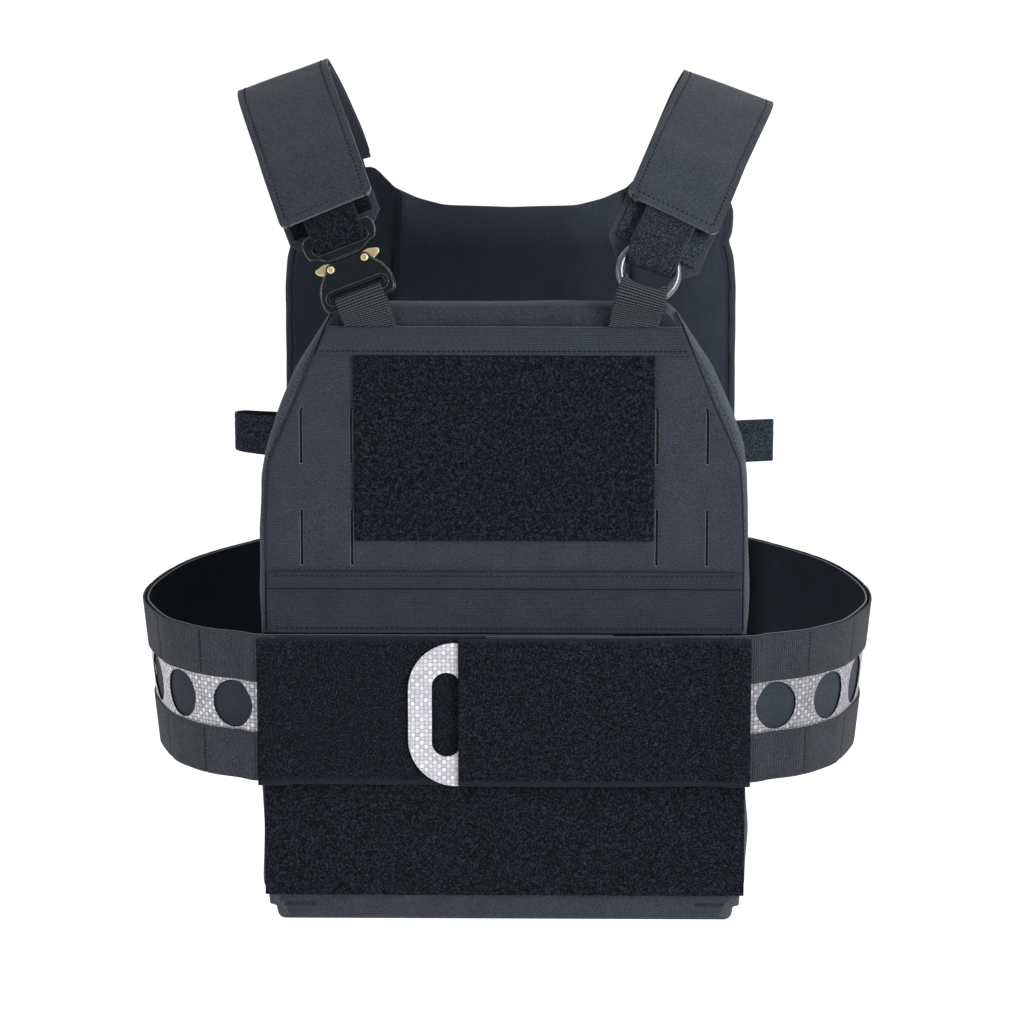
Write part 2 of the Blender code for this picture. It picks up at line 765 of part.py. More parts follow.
class Strap:
    """A shoulder strap's middle line as short straight stretches, with a frame where they meet.
    All its layers bend at the same places, so those that lie on each other keep their distance."""

    def __init__(self, side, rise):
        rows = []
        for left_across, right_across, depth, height in STRAP_PATH:
            across = left_across if side < 0 else right_across
            share = float(np.interp(depth, (REAR_START, 0.2215), (rise, 1.0)))
            lifted = STRAP_FOOT + (height - STRAP_FOOT) * share
            rows.append((depth - CREST_DEPTH, lifted - CREST_HEIGHT, side * across))
        points = smoothed(rows, 400)[:, [2, 0, 1]]
        steps = np.linalg.norm(np.diff(points, axis=0), axis=1)
        run = np.concatenate([[0], np.cumsum(steps)])
        tangents = np.gradient(points, axis=0)
        self.joints = np.linspace(0, run[-1], STRAP_JOINTS)
        self.table = []
        for joint in self.joints:
            point = Vector([np.interp(joint, run, points[:, c]) for c in range(3)])
            along = Vector([np.interp(joint, run, tangents[:, c]) for c in range(3)]).normalized()
            right = Vector((math.cos(CROSS_SLOPE), 0.0, -side * math.sin(CROSS_SLOPE)))
            right -= right.dot(along) * along
            right.normalize()
            self.table.append([*point, *right, *right.cross(along)])
        self.table = np.array(self.table)

    def frame(self, run):
        """(point, right, away): right is the viewer's right across the strap, away its outer side."""
        values = [np.interp(run, self.joints, column) for column in self.table.T]
        return Vector(values[0:3]), Vector(values[3:6]), Vector(values[6:9])

    def lengths(self, *bends):
        """These lengths, with the joints that lie between the first and the last of them."""
        inner = []
        for joint in self.joints[(self.joints > bends[0]) & (self.joints < bends[-1])]:
            if min(abs(joint - bend) for bend in bends) > 0.0006:
                inner.append(float(joint))
        return sorted([*bends, *inner])

    def row(self, run, half_width, out):
        """Three points across the strap at a length, this far out from the middle line."""
        point, right, away = self.frame(run)
        return [point + right * across + away * out for across in (-half_width, 0.0, half_width)]

    def strip(self, name, table, thickness, kind):
        """A strip from a table of rows: length, half width, distance out from the middle line."""
        return sheet(name, [self.row(*values) for values in table], thickness, kind)

    def flat_frame(self, run, out):
        """A matrix whose X is the viewer's right across the strap, Y up along it and Z away from it."""
        point, right, away = self.frame(run)
        away.normalize()
        right -= right.dot(away) * away
        right.normalize()
        place = Matrix((right, away.cross(right), away)).transposed().to_4x4()
        place.translation = point + away * out
        return place


def shoulder(strap, word, base_start, cover_start, lead):
    """The sewn layers of one strap, whose lower sheet and cover start at these lengths."""
    label = "strap_" + word
    half = COVER_WIDTH / 2
    end = strap.joints[-1]
    cover_end = end - COVER_END_FROM_EAR
    base = [(base_start, half - CORNER_CLIP, BASE_OUT)]
    base += [(run, half - GAP, BASE_OUT) for run in strap.lengths(base_start + CORNER_CLIP, cover_end)]
    strap.strip(label + "_base", base, BASE_THICK, "laminate")

    patch_start = base_start + PATCH_FROM_END
    lengths = strap.lengths(patch_start, patch_start + PATCH_LENGTH)
    patch = [(run, half - PATCH_INSET, PATCH_OUT) for run in lengths]
    strap.strip(label + "_loop", patch, PATCH_THICK, "loop")

    bends = [cover_start + start for start, _ in COVER_CORNER]
    cover = []
    for run in strap.lengths(*bends, *COVER_DOWN, cover_end):
        narrow = float(np.interp(run, bends, [inset for _, inset in COVER_CORNER]))
        over_tab = tab_out(run, lead) + (TAB_THICK + COVER_THICK) / 2 + GAP
        down = float(np.interp(run, COVER_DOWN, (0.0, 1.0)))
        cover.append((run, half - narrow, over_tab + (COVER_LOW_OUT - over_tab) * down))
    strap.strip(label + "_cover", cover, COVER_THICK, "laminate")

    lengths = strap.lengths(INNER_START, end - INNER_SHORT)
    inner = [(run, INNER_HALF_WIDTH, 0.0) for run in lengths]
    strap.strip(label + "_inner", inner, INNER_THICK, "webbing")


def tab_out(run, lead):
    """How far out the tab's upper leg lies at a length."""
    return float(np.interp(run, [length for length, _ in lead], [out for _, out in lead]))


def tab(strap, word, place, loop, lead):
    """The tab doubled round the hardware in its flat frame, and brought under the cover by lead."""
    half = TAB_WIDTH / 2
    rows = []
    for run in reversed(strap.lengths(*[length for length, _ in lead], TAB_END)):
        rows.append(strap.row(run, half, tab_out(run, lead)))

    def flat_row(half_width, along, away):
        return [place @ Vector((across, along, away)) for across in (-half_width, 0.0, half_width)]

    turn, radius = loop["turn"], loop["radius"]
    rows.append(flat_row(half, loop["clear"], radius))
    for angle in np.linspace(math.pi / 2, -math.pi / 2, FOLD_STEPS):
        narrow = half + (loop["fold"] - half) * math.cos(angle)
        rows.append(flat_row(narrow, turn - radius * math.cos(angle), radius * math.sin(angle)))
    rows.append(flat_row(half, loop["back_clear"], -radius))
    for run in strap.lengths(loop["back_start"], TAB_END - 0.0060):
        rows.append(strap.row(run, half, LEG_1_OUT))
    return sheet(f"strap_{word}_tab", rows, TAB_THICK, "loop")


def webbing(strap, word, place, loop):
    """Webbing doubled round the hardware above, and sewn flat on the front pouch at the panel's top."""
    half = WEBBING_WIDTH / 2
    start, upper = strap.table[0], strap.table[1]
    lean = (upper[0] - start[0]) / (upper[2] - start[2])
    foot = PANEL_TOP + GAP
    back_leg = FRONT - GAP - WEBBING_THICK / 2
    front_leg = back_leg - WEBBING_THICK - GAP
    shares = (-1.0, -0.5, 0.0, 0.5, 1.0)

    def foot_row(depth, height):
        centre = start[0] + (height - foot) * lean
        reach = half * math.hypot(1, lean)
        return [Vector((centre + reach * share, depth, height)) for share in shares]

    def flat_row(width, up, away, bow=0.0):
        return [place @ Vector((width * share, up + bow * share**2, away)) for share in shares]

    turn, radius = loop["turn"], loop["radius"]
    rows = [foot_row(front_leg, foot), foot_row(front_leg, foot + FOOT_HEIGHT)]
    rows.append(flat_row(half, loop["clear"], radius))
    for angle in np.linspace(math.pi / 2, -math.pi / 2, FOLD_STEPS):
        inward = math.cos(angle)
        width = half + (loop["fold"] - half) * inward
        up = turn + radius * inward
        rows.append(flat_row(width, up, radius * math.sin(angle), loop["bow"] * inward))
    rows.append(flat_row(half, loop["clear"], -radius))
    rows += [foot_row(back_leg, foot + FOOT_HEIGHT), foot_row(back_leg, foot)]
    return sheet("webbing_" + word, rows, WEBBING_THICK, "webbing")


def ring(place):
    bpy.ops.mesh.primitive_torus_add(
        major_segments=28, minor_segments=8, major_radius=RING_RADIUS, minor_radius=RING_WIRE
    )
    obj = bpy.context.object
    obj.name = "ring"
    for collection in list(obj.users_collection):
        collection.objects.unlink(obj)
    PARTS.objects.link(obj)
    obj.matrix_world = place
    finish(obj, "gunmetal")


# The buckle in its own plane, up along the strap from the middle between its rivets
RIVET_ACROSS = 0.00925
RIVET_RADIUS = 0.0016
RIVET_HEAD = 0.0020
RIVET_HOLE = 0.0019
BUCKLE_THICK = 0.0060
BUCKLE_CAVITY = 0.0032
LEVER_THICK = 0.0024
TONGUE_THICK = 0.0022
YOKE_THICK = 0.0034
BUCKLE_RUN = 0.0330
BUCKLE_OUT = 0.0034
BODY_HALF = (
    (0.0, 0.0034),
    (0.0052, 0.0042),
    (0.0076, 0.0035),
    (0.00925, 0.0029),
    (0.0113, 0.0020),
    (0.0121, 0.0003),
    (0.0136, -0.0010),
    (0.0170, -0.0048),
    (0.0190, -0.0090),
    (0.0197, -0.0130),
    (0.0188, -0.0180),
    (0.0165, -0.0212),
)
YOKE_HALF = (
    (0.0170, 0.0205),
    (0.0195, 0.0180),
    (0.0195, 0.0125),
    (0.0183, 0.0082),
    (0.0125, 0.0062),
    (0.0075, 0.0048),
)
TONGUE_HALF_WIDTH = 0.0052
TONGUE_LOW = -0.0060
# The right lever: a brass ear outside its pivot and a pawl beside the tongue
LEVER_OUTLINE = (
    (0.0066, 0.0022),
    (0.0084, 0.0034),
    (0.0100, 0.0040),
    (0.0125, 0.0043),
    (0.0172, 0.0028),
    (0.0175, 0.0013),
    (0.0161, -0.0002),
    (0.0140, -0.0013),
    (0.0122, -0.0025),
    (0.00925, -0.0031),
    (0.0072, -0.0025),
    (0.0062, -0.0006),
)


def slot_outline(half_width, low, high):
    """A stadium lying across, between two heights."""
    radius = (high - low) / 2
    middle = (high + low) / 2
    reach = half_width - radius
    return [
        *arc((reach, middle), radius, -90, 90, 5),
        *arc((-reach, middle), radius, 90, 270, 5),
    ]


BUCKLE_SLOT = slot_outline(0.0150, -0.0165, -0.0124)
YOKE_SLOT = slot_outline(0.0150, 0.0094, 0.0152)


def buckle(place):
    body = as_mesh(
        flat("buckle_body", [mirrored(BODY_HALF), BUCKLE_SLOT], BUCKLE_THICK, "black_metal", place)
    )
    cavity = as_mesh(
        flat(
            "buckle_cavity",
            [box_outline(-0.03, 0.03, -0.0090, 0.0100)],
            BUCKLE_CAVITY,
            "black_metal",
            place,
            CUTTERS,
        ),
        CUTTERS,
    )
    combine(body, cavity, "DIFFERENCE")
    yoke = as_mesh(
        flat("buckle_yoke", [mirrored(YOKE_HALF), YOKE_SLOT], YOKE_THICK, "black_metal", place)
    )
    tongue = as_mesh(
        flat(
            "buckle_tongue",
            [box_outline(-TONGUE_HALF_WIDTH, TONGUE_HALF_WIDTH, TONGUE_LOW, 0.0070)],
            TONGUE_THICK,
            "black_metal",
            place,
            CUTTERS,
        ),
        CUTTERS,
    )
    combine(yoke, tongue, "UNION")
    for word, side in (("left", -1), ("right", 1)):
        pivot = place @ Matrix.Translation((side * RIVET_ACROSS, 0.0, 0.0))
        outline = [(side * across - side * RIVET_ACROSS, up) for across, up in LEVER_OUTLINE]
        hole = arc((0.0, 0.0), RIVET_HOLE, 0, 337.5, 16)
        flat("buckle_lever_" + word, [outline, hole], LEVER_THICK, "brass", pivot)
        through = cylinder(f"rivet_hole_{word}", RIVET_HOLE, 0.02, pivot, 16, CUTTERS)
        combine(body, through, "DIFFERENCE")
        rivet(word, pivot)


def rivet(word, pivot):
    """A rivet through both plates, with a low head on each."""
    face = BUCKLE_THICK / 2 + GAP
    profile = (
        (0.0, face + 0.0007),
        (RIVET_HEAD * 0.7, face + 0.0007),
        (RIVET_HEAD, face + 0.0004),
        (RIVET_HEAD, face),
        (RIVET_RADIUS, face),
        (RIVET_RADIUS, -face),
        (RIVET_HEAD, -face),
        (RIVET_HEAD, -face - 0.0005),
        (0.0, -face - 0.0005),
    )
    edges = [(i, i + 1) for i in range(len(profile) - 1)]
    mesh = bpy.data.meshes.new("buckle_rivet_" + word)
    mesh.from_pydata([(radius, 0.0, height) for radius, height in profile], edges, [])
    obj = bpy.data.objects.new("buckle_rivet_" + word, mesh)
    PARTS.objects.link(obj)
    obj.matrix_world = pivot
    turned = obj.modifiers.new("turn", "SCREW")
    turned.steps = 12
    turned.render_steps = 12
    turned.use_merge_vertices = True
    turned.merge_threshold = 0.00001
    turned.use_smooth_shade = True
    finish(obj, "brass")


# Where each strap's hardware lies along it, and how far out its middle plane is
RING_RUN = 0.0285
RING_OUT = 0.0050
LEFT_BASE_START = 0.0460
LEFT_COVER_START = 0.0615
RIGHT_BASE_START = 0.0301
RIGHT_COVER_START = 0.0589
# How the tabs come up from the hardware to under the covers: length, distance out
LEFT_LEAD = ((0.0590, 0.0059), (0.0660, 0.0043), (0.0740, LEG_2_OUT))
RIGHT_LEAD = ((0.0490, 0.0074), (0.0560, 0.0056), (0.0650, 0.0042), (0.0740, LEG_2_OUT))
# How the tabs and the webbing go round the hardware, up along its plane: where the fold turns, its
# radius, its half width, where the legs leave the plane, and how far the fold's edges stand up
LEFT_TAB = {
    "turn": 0.0136,
    "radius": 0.0029,
    "fold": 0.0120,
    "clear": 0.0218,
    "back_clear": 0.0218,
    "back_start": 0.0600,
}
RIGHT_TAB = {
    "turn": 0.0070,
    "radius": 0.0037,
    "fold": 0.0105,
    "clear": 0.0180,
    "back_clear": 0.0120,
    "back_start": 0.0440,
}
LEFT_WEBBING = {
    "turn": -0.0176,
    "radius": 0.0042,
    "fold": 0.0122,
    "clear": -0.0222,
    "bow": 0.0,
}
RIGHT_WEBBING = {
    "turn": -0.0120,
    "radius": 0.0037,
    "fold": 0.0095,
    "clear": -0.0182,
    "bow": 0.0045,
}
# Side loops: tip, half gap between the legs, top
LEFT_LOOP = (0.1572, 0.0070, 0.0090 - CREST_HEIGHT)
RIGHT_LOOP = (0.1490, 0.0011, 0.0055 - CREST_HEIGHT)


def main():
    front_bag()
    back_bag()
    front_sheets()
    cummerbund_arm("right", 1, RIGHT_FRONT, RIGHT_PANEL_END, RIGHT_LINING_END)
    cummerbund_arm("left", -1, LEFT_FRONT, LEFT_ARM_END, LEFT_ARM_END)
    pull_tab()
    back_flap()
    side_loop("side_loop_left", -1, *LEFT_LOOP)
    side_loop("side_loop_right", 1, *RIGHT_LOOP)

    left = Strap(-1, 1.0)
    shoulder(left, "left", LEFT_BASE_START, LEFT_COVER_START, LEFT_LEAD)
    place = left.flat_frame(BUCKLE_RUN, BUCKLE_OUT)
    buckle(place)
    tab(left, "left", place, LEFT_TAB, LEFT_LEAD)
    webbing(left, "left", place, LEFT_WEBBING)

    right = Strap(1, RIGHT_RISE)
    shoulder(right, "right", RIGHT_BASE_START, RIGHT_COVER_START, RIGHT_LEAD)
    place = right.flat_frame(RING_RUN, RING_OUT)
    ring(place)
    tab(right, "right", place, RIGHT_TAB, RIGHT_LEAD)
    webbing(right, "right", place, RIGHT_WEBBING)


PARTS = None
CUTTERS = None
clear_scene()
PARTS = new_collection("tactical_vest")
CUTTERS = new_collection("cutters")
main()
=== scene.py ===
import math
from contextlib import contextmanager

import bmesh
import bpy
import numpy as np
from mathutils import Matrix, Vector, noise
from mathutils.bvhtree import BVHTree


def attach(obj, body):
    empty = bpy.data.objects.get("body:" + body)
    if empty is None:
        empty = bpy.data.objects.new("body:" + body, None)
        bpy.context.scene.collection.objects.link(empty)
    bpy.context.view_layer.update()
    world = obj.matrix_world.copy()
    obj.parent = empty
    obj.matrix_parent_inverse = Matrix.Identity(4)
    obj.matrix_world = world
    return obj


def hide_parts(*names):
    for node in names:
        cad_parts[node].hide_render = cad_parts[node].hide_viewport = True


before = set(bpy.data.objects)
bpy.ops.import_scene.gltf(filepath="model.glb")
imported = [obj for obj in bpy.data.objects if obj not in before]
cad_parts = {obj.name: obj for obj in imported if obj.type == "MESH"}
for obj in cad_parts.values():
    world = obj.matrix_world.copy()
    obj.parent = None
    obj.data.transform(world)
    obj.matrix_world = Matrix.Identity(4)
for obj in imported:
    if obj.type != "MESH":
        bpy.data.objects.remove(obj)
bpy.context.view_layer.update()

BODY = "vest"

# Sizes shared with the solids, in metres. Heights count from the straps' crest.
GAP = 0.0003
CREST_DEPTH = 0.112
CREST_HEIGHT = 0.205
FRONT = -CREST_DEPTH
BACK_INNER = 0.106
BAG_THICK = 0.022
HALF_WIDTH = 0.1272
SHEET = 0.0015
BAND = 0.001
BAG_TOP = 0.1086 - CREST_HEIGHT
PANEL_TOP = 0.0975 - CREST_HEIGHT
BAND_LOW = 0.0828 - CREST_HEIGHT
PATCH_LOW = -0.0147 - CREST_HEIGHT
LOWER_BAND_TOP = -0.0312 - CREST_HEIGHT
LOWER_BAND_LINE = -0.0397 - CREST_HEIGHT
PANEL_LOW = -0.0640 - CREST_HEIGHT
FIELD_LOW = -0.2065 - CREST_HEIGHT
BAG_LOW = -0.2213 - CREST_HEIGHT
EAR_TOP = 0.1530 - CREST_HEIGHT
POCKET_TOP_BACK = 0.1040 - CREST_HEIGHT
SIDES = (("left", -1), ("right", 1))


# Node materials


class Paint:
    """A node material. Its sums take sockets and numbers alike."""

    def __init__(self, name, **constants):
        self.material = bpy.data.materials.new(name)
        self.material.use_nodes = True
        self.tree = self.material.node_tree
        self.shader = self.tree.nodes["Principled BSDF"]
        for key, value in constants.items():
            self.shader.inputs[key.replace("_", " ")].default_value = value
        self.object = self.node("TexCoord").outputs["Object"]
        cloth = self.node("UVMap", uv_map="cloth").outputs[0]
        self.u, self.v = self.node("SeparateXYZ", {0: cloth}).outputs[:2]

    def node(self, kind, inputs=None, **settings):
        node = self.tree.nodes.new("ShaderNode" + kind)
        for key, value in settings.items():
            setattr(node, key, value)
        for key, value in (inputs or {}).items():
            self.put(node.inputs[key], value)
        return node

    def put(self, socket, value):
        if isinstance(value, bpy.types.NodeSocket):
            self.tree.links.new(value, socket)
        else:
            socket.default_value = value

    def sum(self, operation, *values):
        return self.node("Math", dict(enumerate(values)), operation=operation).outputs[0]

    def times(self, first, second):
        return self.sum("MULTIPLY", first, second)

    def plus(self, value, factor, rest):
        """The rest with a value added by this factor."""
        return self.sum("MULTIPLY_ADD", value, factor, rest)

    def noise(self, scale, detail=2.0, rough=0.5):
        """Noise with this many cells in a metre."""
        inputs = {"Vector": self.object, "Scale": scale, "Detail": detail, "Roughness": rough}
        return self.node("TexNoise", inputs).outputs[0]

    def level(self, value, low, high, to_low=0.0, to_high=1.0):
        return self.node("MapRange", {0: value, 1: low, 2: high, 3: to_low, 4: to_high}).outputs[0]

    def drift(self, low, high, *noise):
        """A value that wanders between two bounds, with noise of this scale, detail and roughness."""
        return self.level(self.noise(*noise), 0.3, 0.7, low, high)

    def mix(self, share, first, second, blend="MIX"):
        inputs = {0: share, 6: first, 7: second}
        inputs |= {key: (*value, 1.0) for key, value in inputs.items() if isinstance(value, tuple)}
        return self.node("Mix", inputs, data_type="RGBA", blend_type=blend).outputs[2]

    def shade(self, colour, factor):
        """The colour made lighter or darker by a factor."""
        grey = self.node("CombineXYZ", {0: factor, 1: factor, 2: factor}).outputs[0]
        return self.mix(1.0, colour, grey, "MULTIPLY")

    def bow(self, turn, fullness):
        """The rounded section of a thread that fills each whole turn."""
        side = self.sum("SINE", self.times(self.sum("FRACT", turn), math.pi))
        return self.sum("POWER", self.sum("MAXIMUM", side, 0.0), fullness)

    def weave(self, across, along):
        """How high the threads of a plain weave stand, from 0 to 1, for threads this wide."""
        u, v = self.sum("DIVIDE", self.u, across), self.sum("DIVIDE", self.v, along)
        heights = []
        for here, there, sign in ((u, v, 0.5), (v, u, -0.5)):
            turn = self.sum("ADD", self.sum("SUBTRACT", there, 0.5), self.sum("FLOOR", here))
            over = self.plus(self.sum("COSINE", self.times(turn, math.pi)), sign, 0.5)
            heights.append(self.times(self.bow(here, 1.0), over))
        return self.sum("MAXIMUM", *heights)

    def ribs(self, coordinate, pitch):
        return self.sum("ABSOLUTE", self.sum("SINE", self.times(coordinate, math.pi / pitch)))

    def finish(self, colour, roughness, height=None, distance=0.0003, strength=1.0):
        self.put(self.shader.inputs["Base Color"], colour)
        self.put(self.shader.inputs["Roughness"], roughness)
        if height is not None:
            bump = self.node("Bump", {"Height": height, "Distance": distance, "Strength": strength})
            self.put(self.shader.inputs["Normal"], bump.outputs[0])
        return self.material


def mottled(paint, colour, height, depth=0.35, speck=0.3):
    """The colour, darker between threads and varied in patches and specks."""
    factor = paint.level(height, 0.0, 1.0, 1.0 - depth, 1.0 + depth * 0.4)
    factor = paint.times(factor, paint.drift(0.92, 1.08, 70.0, 3.0))
    specks = paint.drift(1.0 - speck, 1.0 + speck, 1400.0, 3.0, 0.8)
    return paint.shade(colour, paint.times(factor, specks))


def woven(name, colour, thread, depth=0.35, speck=0.3, gloss=0.1, sheen=0.03):
    """A plain weave of threads this wide."""
    paint = Paint(name, Sheen_Weight=sheen, Specular_IOR_Level=gloss)
    height = paint.weave(thread, thread)
    relief = paint.plus(paint.noise(3500.0), 0.4, height)
    relief = paint.plus(paint.noise(900.0, 3.0, 0.7), 0.8, relief)
    colour = mottled(paint, colour, height, depth, speck)
    return paint.finish(colour, paint.drift(0.72, 0.9, 400.0), relief, 0.00015)


def painted_light_weave(name, colour):
    """The back pouch's inner cloth with painted light: lighter towards its sides, most on the right, and
    towards the middle of its neckline, as if lit there.
    """
    paint = Paint(name, Sheen_Weight=0.03, Specular_IOR_Level=0.05)
    height = paint.weave(0.0005, 0.0005)
    split = paint.node("SeparateXYZ", {0: paint.object})
    across, up = split.outputs[0], split.outputs[2]
    # Painted light: up to 2.3 times lighter towards the right, a little lighter at the far left, and lighter
    # towards the neckline's middle.
    right = paint.level(across, 0.03, 0.12, 1.0, 2.3)
    sides = paint.times(right, paint.level(across, -0.12, -0.07, 1.4, 1.0))
    middle = paint.level(paint.sum("ABSOLUTE", across), 0.058, 0.064, 1.0, 0.0)
    neck = paint.level(up, EAR_TOP - 0.048, EAR_TOP - 0.022, 0.0, 1.3)
    base = paint.shade(colour, paint.times(sides, paint.plus(neck, middle, 1.0)))
    relief = paint.plus(paint.noise(900.0, 3.0, 0.7), 0.8, height)
    return paint.finish(mottled(paint, base, height), paint.drift(0.72, 0.9, 400.0), relief, 0.00015)


def ribbed(name, colour, pitch, upright, depth, speck, distance):
    """Cloth with raised ribs, running up and down or across, with fine threads over them."""
    paint = Paint(name, Sheen_Weight=0.03, Specular_IOR_Level=0.1)
    along, over = (paint.u, paint.v) if upright else (paint.v, paint.u)
    wander = paint.level(paint.noise(60.0), 0.0, 1.0, -0.0002, 0.0002)
    ribs = paint.ribs(paint.sum("ADD", along, wander), pitch)
    height = paint.plus(paint.ribs(over, pitch * 0.55), 0.35, ribs)
    height = paint.plus(paint.noise(2500.0), 0.4, height)
    colour = mottled(paint, colour, paint.times(height, 0.6), depth, speck)
    return paint.finish(colour, paint.drift(0.75, 0.92, 400.0), height, distance)


def strapping(name, dark, light):
    """Heavy webbing: bright rounded rows across, dark gaps between them, and faint columns."""
    paint = Paint(name, Sheen_Weight=0.03, Specular_IOR_Level=0.2)
    columns = paint.ribs(paint.u, 0.00177)
    height = paint.plus(columns, 0.15, paint.ribs(paint.v, 0.00137))
    share = paint.sum("POWER", paint.level(height, 0.36, 1.12), 3.0)
    share = paint.times(share, paint.level(columns, 0.0, 0.5, 0.60, 1.0))
    colour = paint.shade(paint.mix(share, dark, light), paint.drift(0.65, 1.35, 1200.0, 3.0, 0.8))
    return paint.finish(colour, paint.drift(0.55, 0.8, 500.0), height, 0.0005)


def looped(name, dark, light, curl):
    """Brushed loop pile, with its plainer selvedge where the mesh says so."""
    paint = Paint(name, Sheen_Weight=0.02, Specular_IOR_Level=0.05)
    pile = paint.plus(paint.noise(curl * 2.5, 2.0, 0.7), 0.5, paint.noise(curl, 3.0, 0.65))
    pile = paint.plus(paint.noise(260.0), 0.15, pile)
    colour = paint.mix(paint.sum("POWER", paint.level(pile, 0.66, 1.02), 2.2), dark, light)
    selvedge = paint.node("Attribute", attribute_name="selvedge").outputs["Fac"]
    threads = paint.weave(0.0009, 0.0012)
    plain = mottled(paint, tuple(0.5 * c for c in light), threads, 0.3)
    height = paint.mix(selvedge, pile, paint.times(threads, 0.25))
    return paint.finish(paint.mix(selvedge, colour, plain), 0.95, height, 0.0011, 0.9)


def composite(name, colour, gap_colour):
    """Pale laminate over a coarse basket weave of flat yarns. The yarns that run up are painted brighter than
    those that run across, a painted sheen, and each crossing has a brightness of its own."""
    paint = Paint(name, Sheen_Weight=0.0, Specular_IOR_Level=0.4)
    sway = paint.noise(120.0)
    u = paint.sum("DIVIDE", paint.plus(sway, 0.0012, paint.u), 0.0023)
    v = paint.sum("DIVIDE", paint.plus(sway, 0.0010, paint.v), 0.0021)
    column, row = paint.sum("FLOOR", u), paint.sum("FLOOR", v)
    turn = paint.sum("FLOORED_MODULO", paint.sum("ADD", column, row), 2.0)
    cell = paint.node("CombineXYZ", {0: column, 1: row}).outputs[0]
    chance = paint.node("TexWhiteNoise", {"Vector": cell}).outputs["Value"]
    bows = [paint.bow(place, 0.35) for place in (u, v)]
    upright = paint.node("Mix", {0: turn, 2: bows[1], 3: bows[0]}).outputs[0]
    height = paint.times(upright, paint.sum("POWER", paint.times(*bows), 0.25))
    fibres = paint.noise(1800.0, 3.0, 0.6)
    share = paint.level(height, 0.2, 0.9)
    # The upright yarns get painted sheen; the crossings and fibres vary at random.
    for value, low, high, least in ((turn, 0.0, 1.0, 0.6), (chance, 0.0, 1.0, 0.5), (fibres, 0.25, 0.6, 0.7)):
        share = paint.times(share, paint.level(value, low, high, least, 1.0))
    rough = paint.level(fibres, 0.3, 0.7, 0.35, 0.6)
    return paint.finish(paint.mix(share, gap_colour, colour), rough, paint.plus(fibres, 0.2, height))


def metal(name, colour, wear_and_highlight, roughness, metallic, wear=0.5, gloss=0.5):
    """Metal with rubbed spots of another colour; on the buckle's highlight bands the lighter spots add to the
    painted highlight.
    """
    paint = Paint(name, Metallic=metallic, Specular_IOR_Level=gloss)
    rubbed = paint.level(paint.noise(900.0, 4.0, 0.75), 0.60, 0.72, 0.0, wear)
    base = paint.mix(rubbed, paint.shade(colour, paint.drift(0.85, 1.15, 500.0, 3.0)), wear_and_highlight)
    rough = paint.drift(roughness * 0.8, roughness * 1.3, 900.0, 3.0, 0.6)
    return paint.finish(base, rough, paint.noise(4000.0), 0.00001)


